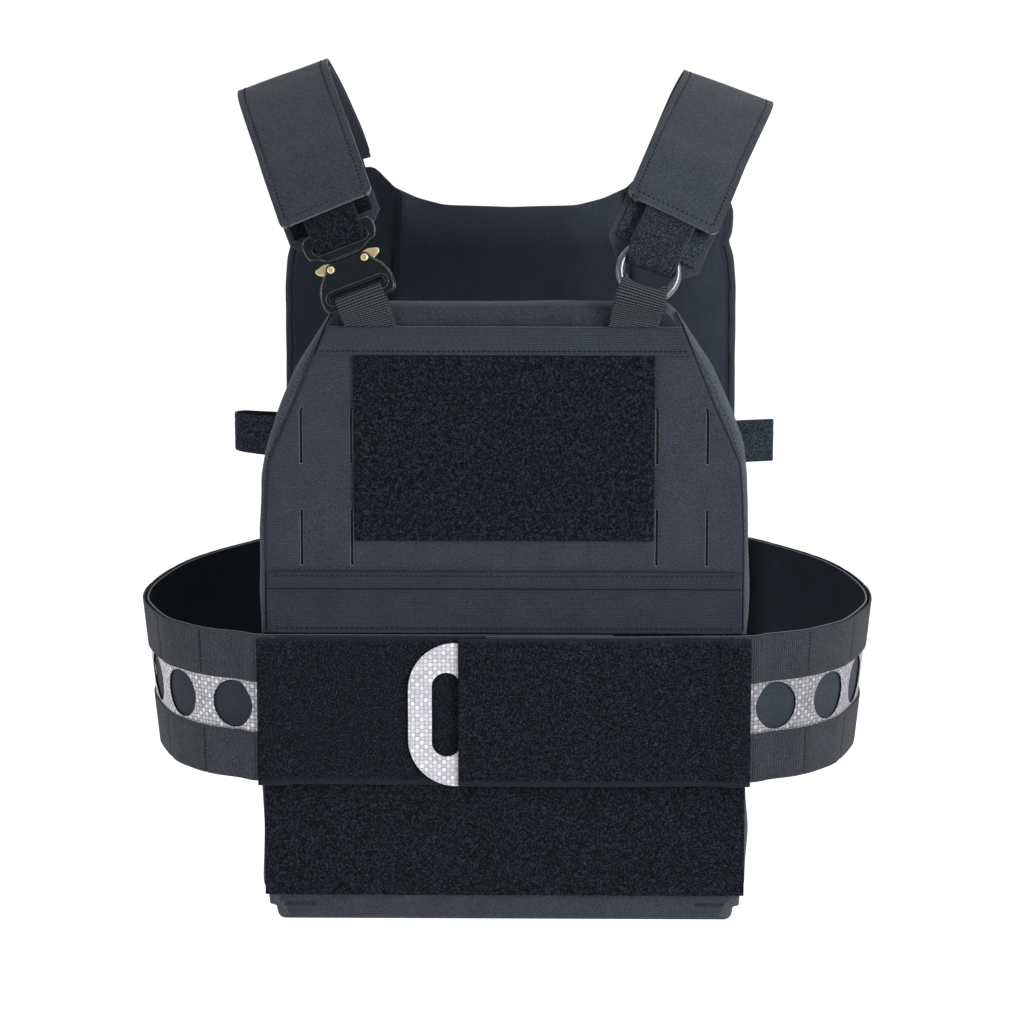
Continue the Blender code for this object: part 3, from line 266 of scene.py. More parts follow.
FINISHES = {
    "laminate": (ribbed, (0.0232, 0.0262, 0.0365), 0.0011, False, 0.30, 0.65, 0.00012),
    "cover": (woven, (0.0260, 0.0312, 0.0390), 0.00055, 0.45, 0.8),
    "band": (ribbed, (0.0222, 0.0266, 0.0336), 0.0012, False, 0.50, 0.60, 0.0002),
    "lower_band": (ribbed, (0.0178, 0.0205, 0.0298), 0.0012, False, 0.50, 0.60, 0.0002),
    "rim": (woven, (0.0265, 0.0305, 0.0400), 0.00055, 0.35, 0.6),
    # Copies of the rim cloth: the side bands painted lighter against the shade of their rounding, the top
    # painted darker where it faces the lamps.
    "side_rim": (woven, (0.0400, 0.0475, 0.0580), 0.00055, 0.35, 0.7),
    "top_rim": (woven, (0.0215, 0.0258, 0.0325), 0.00055, 0.35, 0.7),
    "back": (woven, (0.0112, 0.0137, 0.0190), 0.0005, 0.35, 0.3, 0.05),
    "back_inner": (painted_light_weave, (0.0101, 0.0123, 0.0171)),
    # The back pouch's hem bands and side walls: its cloth painted about 1.6 times lighter, as lit: painted
    # light.
    "back_hem": (woven, (0.0175, 0.0212, 0.0280), 0.0005, 0.35, 0.3, 0.05),
    # Cut edges painted several times lighter than their cloth: a painted highlight along the edges.
    "cover_edge": (woven, (0.085, 0.091, 0.105), 0.0003),
    "arm_edge": (woven, (0.095, 0.102, 0.116), 0.0003),
    "lining": (woven, (0.0050, 0.0068, 0.0092), 0.0007, 0.35, 0.3, 0.02, 0.0),
    # A copy of the lining painted four times lighter for the right arm: painted light.
    "right_lining": (woven, (0.0200, 0.0245, 0.0305), 0.0007, 0.35, 0.3, 0.02, 0.0),
    "under": (woven, (0.0165, 0.0200, 0.0260), 0.0006, 0.35, 0.4, 0.05),
    "behind_holes": (woven, (0.0225, 0.0270, 0.0360), 0.0005, 0.35, 0.4),
    "loop": (looped, (0.0012, 0.0017, 0.0027), (0.0225, 0.0270, 0.0362), 1000.0),
    # Copies of the loop pile painted lighter for the right strap's tab, its patch and the right side loop:
    # painted light.
    "loop_right": (looped, (0.0060, 0.0078, 0.0102), (0.0430, 0.0510, 0.0650), 1100.0),
    "patch_right": (looped, (0.0110, 0.0138, 0.0180), (0.072, 0.085, 0.106), 1100.0),
    "fuzz": (looped, (0.0052, 0.0072, 0.0112), (0.056, 0.068, 0.092), 1000.0),
    "fuzz_right": (looped, (0.0105, 0.0145, 0.0195), (0.068, 0.084, 0.106), 1300.0),
    # The same elastic in two copies: the left painted lighter and the right painted darker, painted light and
    # shade for how the lamps fall on each side.
    "elastic_left": (ribbed, (0.0320, 0.0360, 0.0440), 0.0011, True, 0.70, 0.95, 0.0003),
    "elastic_right": (ribbed, (0.0235, 0.0262, 0.0318), 0.0011, True, 0.70, 0.95, 0.0003),
    "webbing": (strapping, (0.0014, 0.0018, 0.0025), (0.045, 0.0505, 0.062)),
    "composite": (composite, (0.62, 0.62, 0.66), (0.20, 0.20, 0.22)),
    # The same laminate in two copies: painted light on the left arm, painted shade at half the lightness on
    # the right.
    "core_left": (composite, (0.66, 0.66, 0.70), (0.05, 0.05, 0.06)),
    "core_right": (composite, (0.33, 0.33, 0.36), (0.03, 0.03, 0.035)),
    "thread": (woven, (0.0095, 0.0110, 0.0150), 0.0003, 0.35, 0.3, 0.1, 0.1),
    "light_thread": (woven, (0.050, 0.058, 0.072), 0.0003, 0.35, 0.3, 0.1, 0.1),
    "dark_thread": (woven, (0.005, 0.006, 0.008), 0.0003),
    "black_metal": (metal, (0.0036, 0.0058, 0.0066), (0.012, 0.015, 0.015), 0.22, 0.0, 0.5, 0.22),
    # Lighter, shinier metal for thin bands on the buckle's rims: painted highlight lines.
    "worn_edge": (metal, (0.055, 0.062, 0.066), (0.34, 0.36, 0.37), 0.22, 0.85, 0.9),
    "brass": (metal, (0.62, 0.52, 0.31), (0.85, 0.75, 0.52), 0.36, 1.0),
    "steel": (metal, (0.100, 0.106, 0.117), (0.20, 0.20, 0.21), 0.30, 0.9),
}
PAINTS = {name: make(name, *values) for name, (make, *values) in FINISHES.items()}


# Meshes


def smoothed(rows, count):
    """Points on a smooth curve through the rows of a table, evenly spaced along it."""
    rows = np.array(rows, float)
    padded = np.vstack([2 * rows[0] - rows[1], rows, 2 * rows[-1] - rows[-2]])
    fine = []
    for i in range(1, len(padded) - 2):
        before, start, end, after = padded[i - 1 : i + 3]
        for t in np.linspace(0, 1, 12, endpoint=False):
            bend = (2 * before - 5 * start + 4 * end - after) * t**2
            bend = bend + (3 * start - before - 3 * end + after) * t**3
            fine.append(0.5 * (2 * start + (end - before) * t + bend))
    fine = np.array([*fine, rows[-1]])
    run = lengths(fine[:, :2])
    places = np.linspace(0, run[-1], count)
    return np.array([np.interp(places, run, column) for column in fine.T]).T


def lengths(line):
    """How far along a line each of its points lies."""
    return np.concatenate([[0], np.cumsum(np.linalg.norm(np.diff(line, axis=0), axis=1))])


def unit(vectors):
    return vectors / np.linalg.norm(vectors, axis=-1, keepdims=True)


def spread(start, end, step, *fixed):
    """Values from start to end about a step apart, with the fixed values among them."""
    stops = sorted({start, end, *[value for value in fixed if start < value < end]})
    values = []
    for low, high in zip(stops, stops[1:]):
        count = max(1, round((high - low) / step))
        values += list(np.linspace(low, high, count, endpoint=False))
    return np.array([*values, end])


def bumps(points, size, seed=0.0):
    """Smooth noise from -1 to 1 at these points, with swells about this big."""
    points = np.asarray(points)
    values = [noise.noise(Vector(p) / size + Vector((seed, 0.0, 0.0))) for p in points.reshape(-1, 3)]
    return np.array(values).reshape(points.shape[:-1])


def table(rows, value, key=1, result=0):
    """The table's result at a value of its key column."""
    rows = sorted(rows, key=lambda row: row[key])
    return float(np.interp(value, [row[key] for row in rows], [row[result] for row in rows]))


def linked(name, data):
    obj = bpy.data.objects.new(name, data)
    bpy.context.scene.collection.objects.link(obj)
    return obj


@contextmanager
def edited(mesh):
    """The mesh opened for changes, which it keeps."""
    opened = bmesh.new()
    opened.from_mesh(mesh)
    yield opened
    opened.to_mesh(mesh)
    opened.free()


def mesh_object(name, points, faces, paints, uv=None, smooth=True):
    """A mesh with the named paints and with its points' places on the cloth."""
    mesh = bpy.data.meshes.new(name)
    mesh.from_pydata([tuple(p) for p in points], [], faces)
    if smooth:
        mesh.shade_smooth()
    for paint in paints.split():
        mesh.materials.append(PAINTS[paint])
    if uv is not None:
        layer = mesh.uv_layers.new(name="cloth")
        corners = np.zeros(len(mesh.loops), int)
        mesh.loops.foreach_get("vertex_index", corners)
        layer.data.foreach_set("uv", np.asarray(uv, np.float32)[corners].ravel())
    return linked(name, mesh)


def settle(obj, slot, *nodes, body=BODY):
    """The piece rides on its body and stands for these solids, which it hides. Its slot is not used."""
    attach(obj, body)
    if nodes:
        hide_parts(*nodes)
    return obj


def grid_faces(rows, columns, keep=None, flip=False):
    faces = []
    for row in range(rows - 1):
        for column in range(columns - 1):
            if keep is None or keep[row, column]:
                a = row * columns + column
                face = (a, a + 1, a + columns + 1, a + columns)
                faces.append(face[::-1] if flip else face)
    return faces


def ring_faces(layers, sides, start=0, flip=False, capped=False):
    """The faces between rings of points, and over both ends of a capped form."""
    faces = []
    for layer in range(layers - 1):
        for corner in range(sides):
            a, b = (start + layer * sides + (corner + step) % sides for step in (0, 1))
            faces.append((a, a + sides, b + sides, b) if flip else (a, b, b + sides, a + sides))
    if capped:
        last = start + (layers - 1) * sides
        faces += [tuple(range(start + sides - 1, start - 1, -1)), tuple(range(last, last + sides))]
    return faces


def cloth(name, grid, paints, thickness, slot, keep=None, flip=False, edge=0.0004, two_sided=False, cut=False):
    """A grid of points, with their places on the flat cloth, made a sheet with rounded edges. Its
    paints are those of its outer side, of its inner side if it is two-sided, and of its cut edges
    if there is another."""
    points, flat = grid
    faces = grid_faces(*points.shape[:2], keep, flip)
    obj = mesh_object(name, points.reshape(-1, 3), faces, paints, flat.reshape(-1, 2))
    with edited(obj.data) as mesh:
        loose = [point for point in mesh.verts if not point.link_faces]
        bmesh.ops.delete(mesh, geom=loose, context="VERTS")
    thicken(obj, thickness, edge, two_sided, cut)
    return settle(obj, slot, name)


def thicken(obj, thickness, edge, two_sided=False, cut=False):
    last = len(obj.data.materials) - 1
    solid = obj.modifiers.new("thickness", "SOLIDIFY")
    solid.thickness = thickness
    solid.offset = 0.0
    solid.use_even_offset = True
    solid.material_offset = 1 if two_sided else 0
    solid.material_offset_rim = last
    bevel = obj.modifiers.new("edge", "BEVEL")
    bevel.width = edge
    bevel.segments = 2
    bevel.limit_method = "ANGLE"
    bevel.angle_limit = math.radians(50)
    if cut:
        bevel.material = last


def with_selvedge(obj, values):
    layer = obj.data.attributes.new("selvedge", "FLOAT", "POINT")
    layer.data.foreach_set("value", np.asarray(values, np.float32).ravel())


def normals_of(points):
    return unit(np.cross(np.gradient(points, axis=1), np.gradient(points, axis=0)))


def raised(points, heights):
    """A grid of points raised from its own surface."""
    return points + normals_of(points) * heights[..., None]


# One stitch from end to end: place along it, thickness, and lift, in half lengths and widths
STITCH = ((-1.0, 0.35, -0.9), (-0.62, 0.85, 0.1), (0.0, 1.0, 0.45), (0.62, 0.85, 0.1), (1.0, 0.35, -0.9))
STITCH_SIDES = 6


def stitches(name, seams, paint, length=0.0020, space=0.0007, width=0.00036, phase=0.5, slant=0.12):
    """Raised thread along seams, each a row of points with the cloth's outward normals."""
    verts, faces, uv = [], [], []
    for points, normals in seams:
        points, normals = np.asarray(points, float), np.asarray(normals)
        run = lengths(points)

        def at(place, values):
            return np.array([np.interp(place, run, column) for column in values.T])

        count = int((run[-1] + space) / (length + space))
        for index in range(count):
            middle = (index + phase) * (run[-1] / count)
            start, end = (at(middle + sign * length / 2, points) for sign in (-1, 1))
            normal = unit(at(middle, normals))
            along = unit(end - start)
            along = unit(along + np.cross(normal, along) * slant)
            side = np.cross(normal, along)
            faces += ring_faces(len(STITCH), STITCH_SIDES, len(verts), capped=True)
            for where, size, lift in STITCH:
                for corner in range(STITCH_SIDES):
                    angle = 2 * math.pi * corner / STITCH_SIDES
                    reach = width * size
                    up = reach * 0.8 * math.sin(angle) + lift * width
                    place = (start + end) / 2 + along * where * length / 2
                    verts.append(place + side * reach * math.cos(angle) + normal * up)
                    uv.append((where * 0.0012, corner * 0.0002))
    return settle(mesh_object(name, verts, faces, paint, uv), "laminate_cloth")


def seam_line(start, end, depth, outward=-1.0, count=60):
    """A straight seam between two places, across and up, on an upright sheet."""
    places = zip(np.linspace(start[0], end[0], count), np.linspace(start[1], end[1], count))
    return [(x, depth, z) for x, z in places], [(0.0, outward, 0.0)] * count


def tube(name, line, radius, paint, sides=8):
    """A thin cord along a line of points."""
    line = np.array(line)
    along = unit(np.gradient(line, axis=0))
    across = unit(np.cross(along, (0.0, 1.0, 0.0)))
    up = np.cross(across, along)
    points, uv = [], []
    for i, point in enumerate(line):
        for corner in range(sides):
            angle = 2 * math.pi * corner / sides
            points.append(point + radius * (across[i] * math.cos(angle) + up[i] * math.sin(angle)))
            uv.append((radius * angle, i * 0.002))
    faces = ring_faces(len(line), sides, capped=True)
    return settle(mesh_object(name, points, faces, paint, uv), "laminate_cloth")


def box_uv(obj):
    """Lays the cloth's threads on a closed form from the side that each face looks to."""
    mesh = obj.data
    layer = mesh.uv_layers.get("cloth") or mesh.uv_layers.new(name="cloth")
    for face in mesh.polygons:
        x, y, z = (abs(c) for c in face.normal)
        axes = (0, 2) if y >= x and y >= z else (1, 2) if x >= z else (0, 1)
        for corner in face.loop_indices:
            point = mesh.vertices[mesh.loops[corner].vertex_index].co
            layer.data[corner].uv = [point[axis] for axis in axes]


def final_mesh(obj):
    """A new mesh with the object's modifiers made part of it."""
    graph = bpy.context.evaluated_depsgraph_get()
    return bpy.data.meshes.new_from_object(obj.evaluated_get(graph))


# Plate pouches

EAR_SIDE = EAR_TOP - 0.0165
# Rows of across and height
SIDE_FRONT = (
    (0.0835, BAG_TOP),
    (0.0880, BAG_TOP - 0.0030), (0.0965, BAG_TOP - 0.0166), (0.1075, BAG_TOP - 0.0336),
    (0.1173, BAG_TOP - 0.0556), (0.1234, BAG_TOP - 0.0739), (0.1263, BAG_TOP - 0.0921),
    (HALF_WIDTH, BAG_TOP - 0.1186),
    (HALF_WIDTH, BAG_LOW + 0.0180),
    (0.1247, BAG_LOW + 0.0160), (0.1245, BAG_LOW + 0.0085), (0.1243, BAG_LOW + 0.0077),
    (0.1212, BAG_LOW + 0.0073), (0.1208, BAG_LOW + 0.0065), (0.1205, BAG_LOW + 0.0020),
    (0.1180, BAG_LOW),
)
SIDE_BACK = (
    (0.1220, EAR_SIDE),
    (0.1257, EAR_TOP - 0.0250), (0.1250, EAR_TOP - 0.0380), (0.1227, EAR_TOP - 0.0430),
    (0.1259, EAR_TOP - 0.0530), (HALF_WIDTH, EAR_TOP - 0.0700),
    *SIDE_FRONT[8:],
)
NECKLINE = (
    (0.0, EAR_TOP - 0.0240), (0.0360, EAR_TOP - 0.0230), (0.0520, EAR_TOP - 0.0190),
    (0.0650, EAR_TOP - 0.0130), (0.0710, EAR_TOP - 0.0070), (0.0760, EAR_TOP - 0.0010),
    (0.0785, EAR_TOP),
    (0.1220, EAR_SIDE),
)
# Rows of depth and how far the rim draws in, or the ears fall, at that depth
RIM = (
    (0.0, 0.0030), (0.0012, 0.0012), (0.0035, 0.0002), (0.0070, 0.0),
    (0.0150, 0.0), (0.0185, 0.0010), (0.0208, 0.0032), (BAG_THICK, 0.0060),
)
EAR_FALL = ((0.0, 0.0), (0.0050, 0.0), (0.0150, 0.0200), (BAG_THICK, 0.0400))
BAG_DEPTHS = (0.0, 0.0012, 0.0035, 0.0070, 0.0110, 0.0150, 0.0185, 0.0208, BAG_THICK)
RIM_CELLS = 3
BAG_CELL = 0.0055
MOUTH_SHARE = 0.955
MOUTH_MARGIN = 0.0030
HEM_SHARE = 1 - 0.0025 / HALF_WIDTH
TOP_HEM = 0.0030
# Places of the cloths among a pouch's paints. The lining is the last, and the mouth has none.
PLAIN, HEM, TOP, MOUTH = 0, 1, 2, 4
PUFF = {
    "quality": 6,
    "mass": 0.2,
    "tension_stiffness": 20,
    "compression_stiffness": 20,
    "shear_stiffness": 8,
    "bending_stiffness": 0.6,
    "use_pressure": True,
    "uniform_pressure_force": 4,
    "shrink_min": -0.006,
}
PUFF_FRAMES = 20
PUFF_CAP = 0.0030


def bag_form(first_depth, sides, neckline, columns):
    """A pouch as a closed grid: its two faces, its side walls, its top and its bottom. Each face
    has a mark for its cloth, and each point is sewn or free."""
    top_height = EAR_SIDE if neckline else BAG_TOP
    hem_line = EAR_SIDE - TOP_HEM if neckline else PANEL_TOP
    heights = spread(BAG_LOW, top_height, BAG_CELL, hem_line, *[row[1] for row in sides])
    shares = spread(-1.0, 1.0, BAG_CELL / HALF_WIDTH, *columns)
    middle = (BAG_TOP + BAG_LOW) / 2
    half_height = (BAG_TOP - BAG_LOW) / 2
    if neckline:
        tops = [table(neckline, abs(share) * neckline[-1][0], 0, 1) for share in shares]
    numbers, points, seam, faces, marks = {}, [], [], [], []
    last = (len(shares) - 1, len(BAG_DEPTHS) - 1, len(heights) - 1)

    def number(i, j, k):
        if (i, j, k) not in numbers:
            height, depth = heights[k], BAG_DEPTHS[j]
            if neckline:
                height = BAG_LOW + (tops[i] - BAG_LOW) * (height - BAG_LOW) / (heights[-1] - BAG_LOW)
            across = shares[i] * table(sides, min(height, heights[-1]))
            if neckline and height > POCKET_TOP_BACK:
                share = (height - POCKET_TOP_BACK) / (EAR_TOP - POCKET_TOP_BACK)
                height -= table(EAR_FALL, depth, 0, 1) * share
            inset = table(RIM, depth, 0, 1)
            up = middle + (height - middle) * (1 - inset / half_height)
            numbers[i, j, k] = len(points)
            points.append((across * (1 - inset / HALF_WIDTH), first_depth + depth, up))
            rim = i in (0, last[0]) or k == last[2]
            seam.append(1.0 if k == 0 or (j in (0, last[1]) and rim) else 0.0)
        return numbers[i, j, k]

    def add(corners, flip, mark):
        face = [number(*corner) for corner in corners]
        faces.append(face[::-1] if flip else face)
        marks.append(mark)

    outer = [max(abs(low), abs(high)) for low, high in zip(shares, shares[1:])]
    for i in range(last[0]):
        for k in range(last[2]):
            above = heights[k] > PANEL_TOP - 0.0001
            edge = outer[i] > HEM_SHARE + 0.001 and (neckline or not above)
            mark = HEM if edge else TOP if neckline or above else PLAIN
            for j, flip in ((0, False), (last[1], True)):
                corners = ((i, j, k), (i + 1, j, k), (i + 1, j, k + 1), (i, j, k + 1))
                add(corners, flip, PLAIN if j else mark)
    for j in range(last[1]):
        for k in range(last[2]):
            for i, flip in ((0, True), (last[0], False)):
                corners = ((i, j, k), (i, j + 1, k), (i, j + 1, k + 1), (i, j, k + 1))
                add(corners, flip, HEM if j < RIM_CELLS else PLAIN)
        inside = BAG_DEPTHS[j] > MOUTH_MARGIN and BAG_DEPTHS[j + 1] < BAG_THICK - MOUTH_MARGIN
        for i in range(last[0]):
            low = MOUTH if inside and outer[i] < MOUTH_SHARE else PLAIN
            top = TOP if neckline or j < RIM_CELLS else PLAIN
            for k, flip, mark in ((0, True, low), (last[2], False, top)):
                add(((i, j, k), (i + 1, j, k), (i + 1, j + 1, k), (i, j + 1, k)), flip, mark)
    return np.array(points), faces, np.array(seam), marks


def puffed(obj, pinned):
    """The form's points once it is blown up a little, as cloth held at its seams."""
    rest = np.array([v.co for v in obj.data.vertices])
    group = obj.vertex_groups.new(name="seams")
    for index, weight in enumerate(pinned):
        group.add([index], float(weight), "REPLACE")
    modifier = obj.modifiers.new("cloth", "CLOTH")
    for key, value in PUFF.items():
        setattr(modifier.settings, key, value)
    modifier.settings.effector_weights.gravity = 0
    modifier.settings.vertex_group_mass = group.name
    modifier.collision_settings.use_collision = False
    modifier.point_cache.frame_start = 1
    modifier.point_cache.frame_end = PUFF_FRAMES
    for step in range(1, PUFF_FRAMES + 1):
        bpy.context.scene.frame_set(step)
    graph = bpy.context.evaluated_depsgraph_get()
    moved = np.array([v.co for v in obj.evaluated_get(graph).data.vertices])
    obj.modifiers.clear()
    bpy.context.scene.frame_set(1)
    push = (moved - rest) * (0.25, 1.0, 0.25)
    far = np.linalg.norm(push, axis=1)[:, None]
    push *= np.tanh(far / PUFF_CAP) * PUFF_CAP / np.maximum(far, 1e-9)
    return rest + push


def bag(name, first_depth, sides, neckline, columns, paints, sewn, limits, fold):
    """A pouch whose faces and walls have a cloth each. Its bottom is open, for a plate."""
    points, faces, seam, marks = bag_form(first_depth, sides, neckline, columns)
    obj = mesh_object(name, points, faces, paints)
    obj.data.polygons.foreach_set("material_index", marks)
    pinned = np.maximum(seam, [sewn(*point) for point in points])
    points = puffed(obj, pinned)
    points = points + fold(points)
    points[:, 1] = np.clip(points[:, 1], *limits)
    obj.data.vertices.foreach_set("co", points.astype(np.float32).ravel())
    obj.data.materials.append(obj.data.materials[PLAIN])
    fine = obj.modifiers.new("fine", "SUBSURF")
    fine.levels = fine.render_levels = 1
    coarse, obj.data = obj.data, final_mesh(obj)
    obj.modifiers.clear()
    bpy.data.meshes.remove(coarse)
    with edited(obj.data) as mesh:
        mouth = [face for face in mesh.faces if face.material_index == MOUTH]
        bmesh.ops.delete(mesh, geom=mouth, context="FACES")
    obj.data.materials.pop(index=MOUTH)
    box_uv(obj)
    obj.data.shade_smooth()
    wall = obj.modifiers.new("wall", "SOLIDIFY")
    wall.thickness = 0.0018
    wall.offset = -1.0
    wall.material_offset = len(obj.data.materials)
    wall.material_offset_rim = PLAIN
    return settle(obj, "laminate_cloth", name)


def ridge(distance, width):
    """1 on a line, falling smoothly to 0 at this distance."""
    return np.exp(-((np.asarray(distance) / width) ** 2))


def front_fold(points):
    """Slight waves where the pouch's side walls hang."""
    moved = np.zeros_like(points)
    side = np.clip((np.abs(points[:, 0]) - 0.112) / 0.012, 0, 1)
    moved[:, 0] = np.sign(points[:, 0]) * bumps(points, 0.026, 3.0) * 0.0016 * side
    moved[:, 2] = bumps(points, 0.06, 9.0) * 0.0006 * (points[:, 2] > BAG_TOP - 0.02)
    return moved


# Creases of the back pouch's inner face: start across and up, end across and up, depth, width
CREASES = (
    (0.0640, -0.0560, 0.1000, -0.0960, 0.0032, 0.0035),
    (0.0640, -0.0540, 0.1150, -0.0700, 0.0026, 0.0030),
    (0.0560, -0.0640, 0.0280, -0.1100, 0.0022, 0.0060),
    (0.0700, -0.0900, 0.0950, -0.1350, 0.0020, 0.0050),
    (-0.0640, -0.0560, -0.0980, -0.1000, 0.0030, 0.0040),
    (-0.0660, -0.0540, -0.1100, -0.0640, 0.0024, 0.0030),
    (-0.0560, -0.0600, -0.0250, -0.1150, 0.0024, 0.0070),
    (-0.0750, -0.1200, -0.1180, -0.0950, 0.0018, 0.0045),
)


def seam_across(height):
    """How far from the middle the seams of the back pouch's inner face lie."""
    return np.interp(height, (-0.1700, -0.0560), (0.0705, 0.0625))


def back_fold(points):
    """The seams down the wearer's side and folds from the neck's corners."""
    moved = np.zeros_like(points)
    inner = np.clip(1 - (points[:, 1] - BACK_INNER) / 0.004, 0, 1)
    across, up = points[:, 0], points[:, 2]
    beside = np.abs(across) - seam_across(up)
    depth = 0.0022 * ridge(beside, 0.0018) - 0.0014 * ridge(beside + 0.0050, 0.0035)
    for x_0, z_0, x_1, z_1, deep, width in CREASES:
        along = np.array([x_1 - x_0, z_1 - z_0])
        length = np.linalg.norm(along)
        along /= length
        run = (across - x_0) * along[0] + (up - z_0) * along[1]
        off = (across - x_0) * along[1] - (up - z_0) * along[0]
        fade = np.clip(run / 0.006, 0, 1) * np.clip((length - run) / (0.6 * length), 0, 1)
        depth += deep * fade * (ridge(off, width) - 0.6 * ridge(off - 1.7 * width, width))
    neck = np.array([table(NECKLINE, abs(x), 0, 1) for x in across])
    rolled = np.clip((0.075 - np.abs(across)) / 0.015, 0, 1)
    depth += 0.0016 * ridge(np.minimum(up - neck, 0.0), 0.0090) * rolled
    depth += bumps(points, 0.05, 5.0) * 0.0012 + bumps(points, 0.02, 7.0) * 0.0004
    moved[:, 1] = inner * depth
    return moved


def faces_of(obj):
    """The piece's faces, for finding places on it."""
    mesh = obj.data
    return BVHTree.FromPolygons([v.co for v in mesh.vertices], [p.vertices for p in mesh.polygons])


def surface(obj, places):
    """The nearest places on a piece, with the normals there."""
    tree = faces_of(obj)
    found = [tree.find_nearest(Vector(place)) for place in places]
    return [tuple(hit[0]) for hit in found], [tuple(hit[1]) for hit in found]


def rim_stitches(obj):
    """Stitches along the front pouch's side edges, between the panel and the silhouette."""
    seams = []
    for _, side in SIDES:
        places = []
        for height in np.linspace(PANEL_LOW + 0.002, BAG_TOP - 0.010, 110):
            low, high = panel_half(height) + 0.0006, table(SIDE_FRONT, height)
            places.append((side * (low + 0.5 * (high - low)), FRONT - 0.001, height))
        seams.append(surface(obj, places))
    stitches("rim_stitches", seams, "light_thread", 0.0014, 0.0012, 0.0003)
    # Short dark thread between the light stitches: painted shade in the needle holes.
    stitches("rim_stitch_hole_shadows", seams, "dark_thread", 0.0008, 0.0018, 0.00026, 0.0)


def back_seams(obj):
    """The sewn lines of the back pouch's inner face."""
    lines = (
        ("hem", EAR_TOP - 0.046, lambda z: table(SIDE_BACK, z) * HEM_SHARE),
        ("inner", EAR_TOP - 0.0150, seam_across),
    )
    for word, side in SIDES:
        for kind, top, line in lines:
            heights = np.linspace(BAG_LOW + 0.02, top, 90)
            places = surface(obj, [(side * line(z), BACK_INNER - 0.004, z) for z in heights])[0]
            tube(f"back_{kind}_seam_{word}", places, 0.00045, "dark_thread")


def bags():
    front = bag(
        "front_bag",
        FRONT,
        SIDE_FRONT,
        None,
        (-HEM_SHARE, HEM_SHARE),
        # The side bands carry painted light and the top strip carries painted shade.
        "rim side_rim top_rim lining",
        lambda x, y, z: y < FRONT + 0.0005 and (z > PANEL_TOP or z < FIELD_LOW),
        (FRONT + 0.0001, FRONT + BAG_THICK + 0.0015),
        front_fold,
    )
    rim_stitches(front)
    fine = [s * across / HALF_WIDTH for s in (-1, 1) for across in np.arange(0.0600, 0.0741, 0.0014)]
    back = bag(
        "back_bag",
        BACK_INNER,
        SIDE_BACK,
        NECKLINE,
        (*fine, -HEM_SHARE, HEM_SHARE),
        "back back_hem back_inner lining",
        lambda x, y, z: y < BACK_INNER + 0.0005 and abs(abs(x) - seam_across(z)) < 0.002,
        (BACK_INNER - 0.0022, BACK_INNER + BAG_THICK - 0.0001),
        back_fold,
    )
    back_seams(back)
    return faces_of(back)


# Sheets on the front pouch

PANEL_EDGE = (
    (0.0917, PANEL_TOP), (0.0981, PANEL_TOP - 0.0158), (0.1075, PANEL_TOP - 0.0395),
    (0.1153, PANEL_TOP - 0.0567), (0.1214, PANEL_TOP - 0.0713), (0.1230, PANEL_TOP - 0.0890),
    (0.1238, PANEL_TOP - 0.1118), (0.1240, PANEL_LOW),
)
PATCH_HALF_WIDTH = 0.0776
FIELD_HALF_WIDTH = 0.1262
SLIT_WIDTH = 0.0013
SLIT_LENGTH = 0.0295
SLIT_COLUMNS = (0.0790, 0.1050)
SLIT_TOPS = (0.0552 - CREST_HEIGHT, 0.0015 - CREST_HEIGHT)
SLIT_MARGIN = 0.0009
BAR_TACKS = ((-0.1165, -0.0985), (0.1005, 0.1165))
TACK_HEIGHT = -0.2118 - CREST_HEIGHT
LAYER_1 = FRONT - GAP - SHEET / 2
LAYER_2 = FRONT - 2 * GAP - SHEET - BAND / 2
BAND_FACE = LAYER_2 - BAND / 2
BAND_STEP = 0.0024
TOP_SEAM = BAND_LOW + 0.0021
LOWER_SEAMS = (LOWER_BAND_TOP - 0.0021, PANEL_LOW + 0.0025)
PILE_STEP = 0.0015


def front_grid(low, high, half_width, depth, step, relief, lines=(), columns=(), inset=0.0):
    """Points, and their places on the flat cloth, of a sheet on the front between two heights.
    Its fixed columns keep their place where the sheet is wide enough for them."""
    heights = spread(low, high, step, *lines)
    shares = spread(-half_width(low), half_width(low), step, *columns)
    kept = max([abs(c) for c in columns], default=0.0) + SLIT_MARGIN
    widest = half_width(low)

    def across(share, half):
        if not columns:
            return share / widest * half
        squeeze = min(1.0, (half - 0.0030) / kept)
        if abs(share) <= kept:
            return share * squeeze
        outer = (abs(share) - kept) / (widest - kept)
        return math.copysign(kept * squeeze + outer * (half - kept * squeeze), share)

    points = np.array([[(across(s, half_width(z) - inset), depth, z) for s in shares] for z in heights])
    flat = points[..., [0, 2]].copy()
    points[..., 1] -= bumps(points, 0.03, depth * 1000) * 0.00012
    points[..., 1] -= relief(points[..., 0], points[..., 2])
    return points, flat


def panel_half(height):
    return table(PANEL_EDGE, height)


def edge_line(side):
    """Where the panel's edge lies on the pouch, from its lower corner up."""
    heights = np.linspace(PANEL_LOW + 0.001, PANEL_TOP - 0.0005, 70)
    line = [(side * (panel_half(z) + 0.0003), LAYER_1 + 0.0001, z) for z in heights]
    line.append((side * 0.0896, FRONT - 0.0001, PANEL_TOP + 0.0045))
    return [*line, (side * 0.0880, FRONT + 0.0012, BAG_TOP - 0.0036)]


def edge_groove(across, height):
    """The panel's edge is pressed down along its seam."""
    edge = np.interp(height, [z for _, z in PANEL_EDGE][::-1], [x for x, _ in PANEL_EDGE][::-1])
    return -0.0004 * ridge(edge - np.abs(across), 0.0015)


def pressed(height, *seams):
    """How far thread presses a band in, along seams at these heights."""
    return -0.0003 * sum(ridge(height - seam, 0.0008) for seam in seams)


def band_groove(across, height):
    return pressed(height, TOP_SEAM)


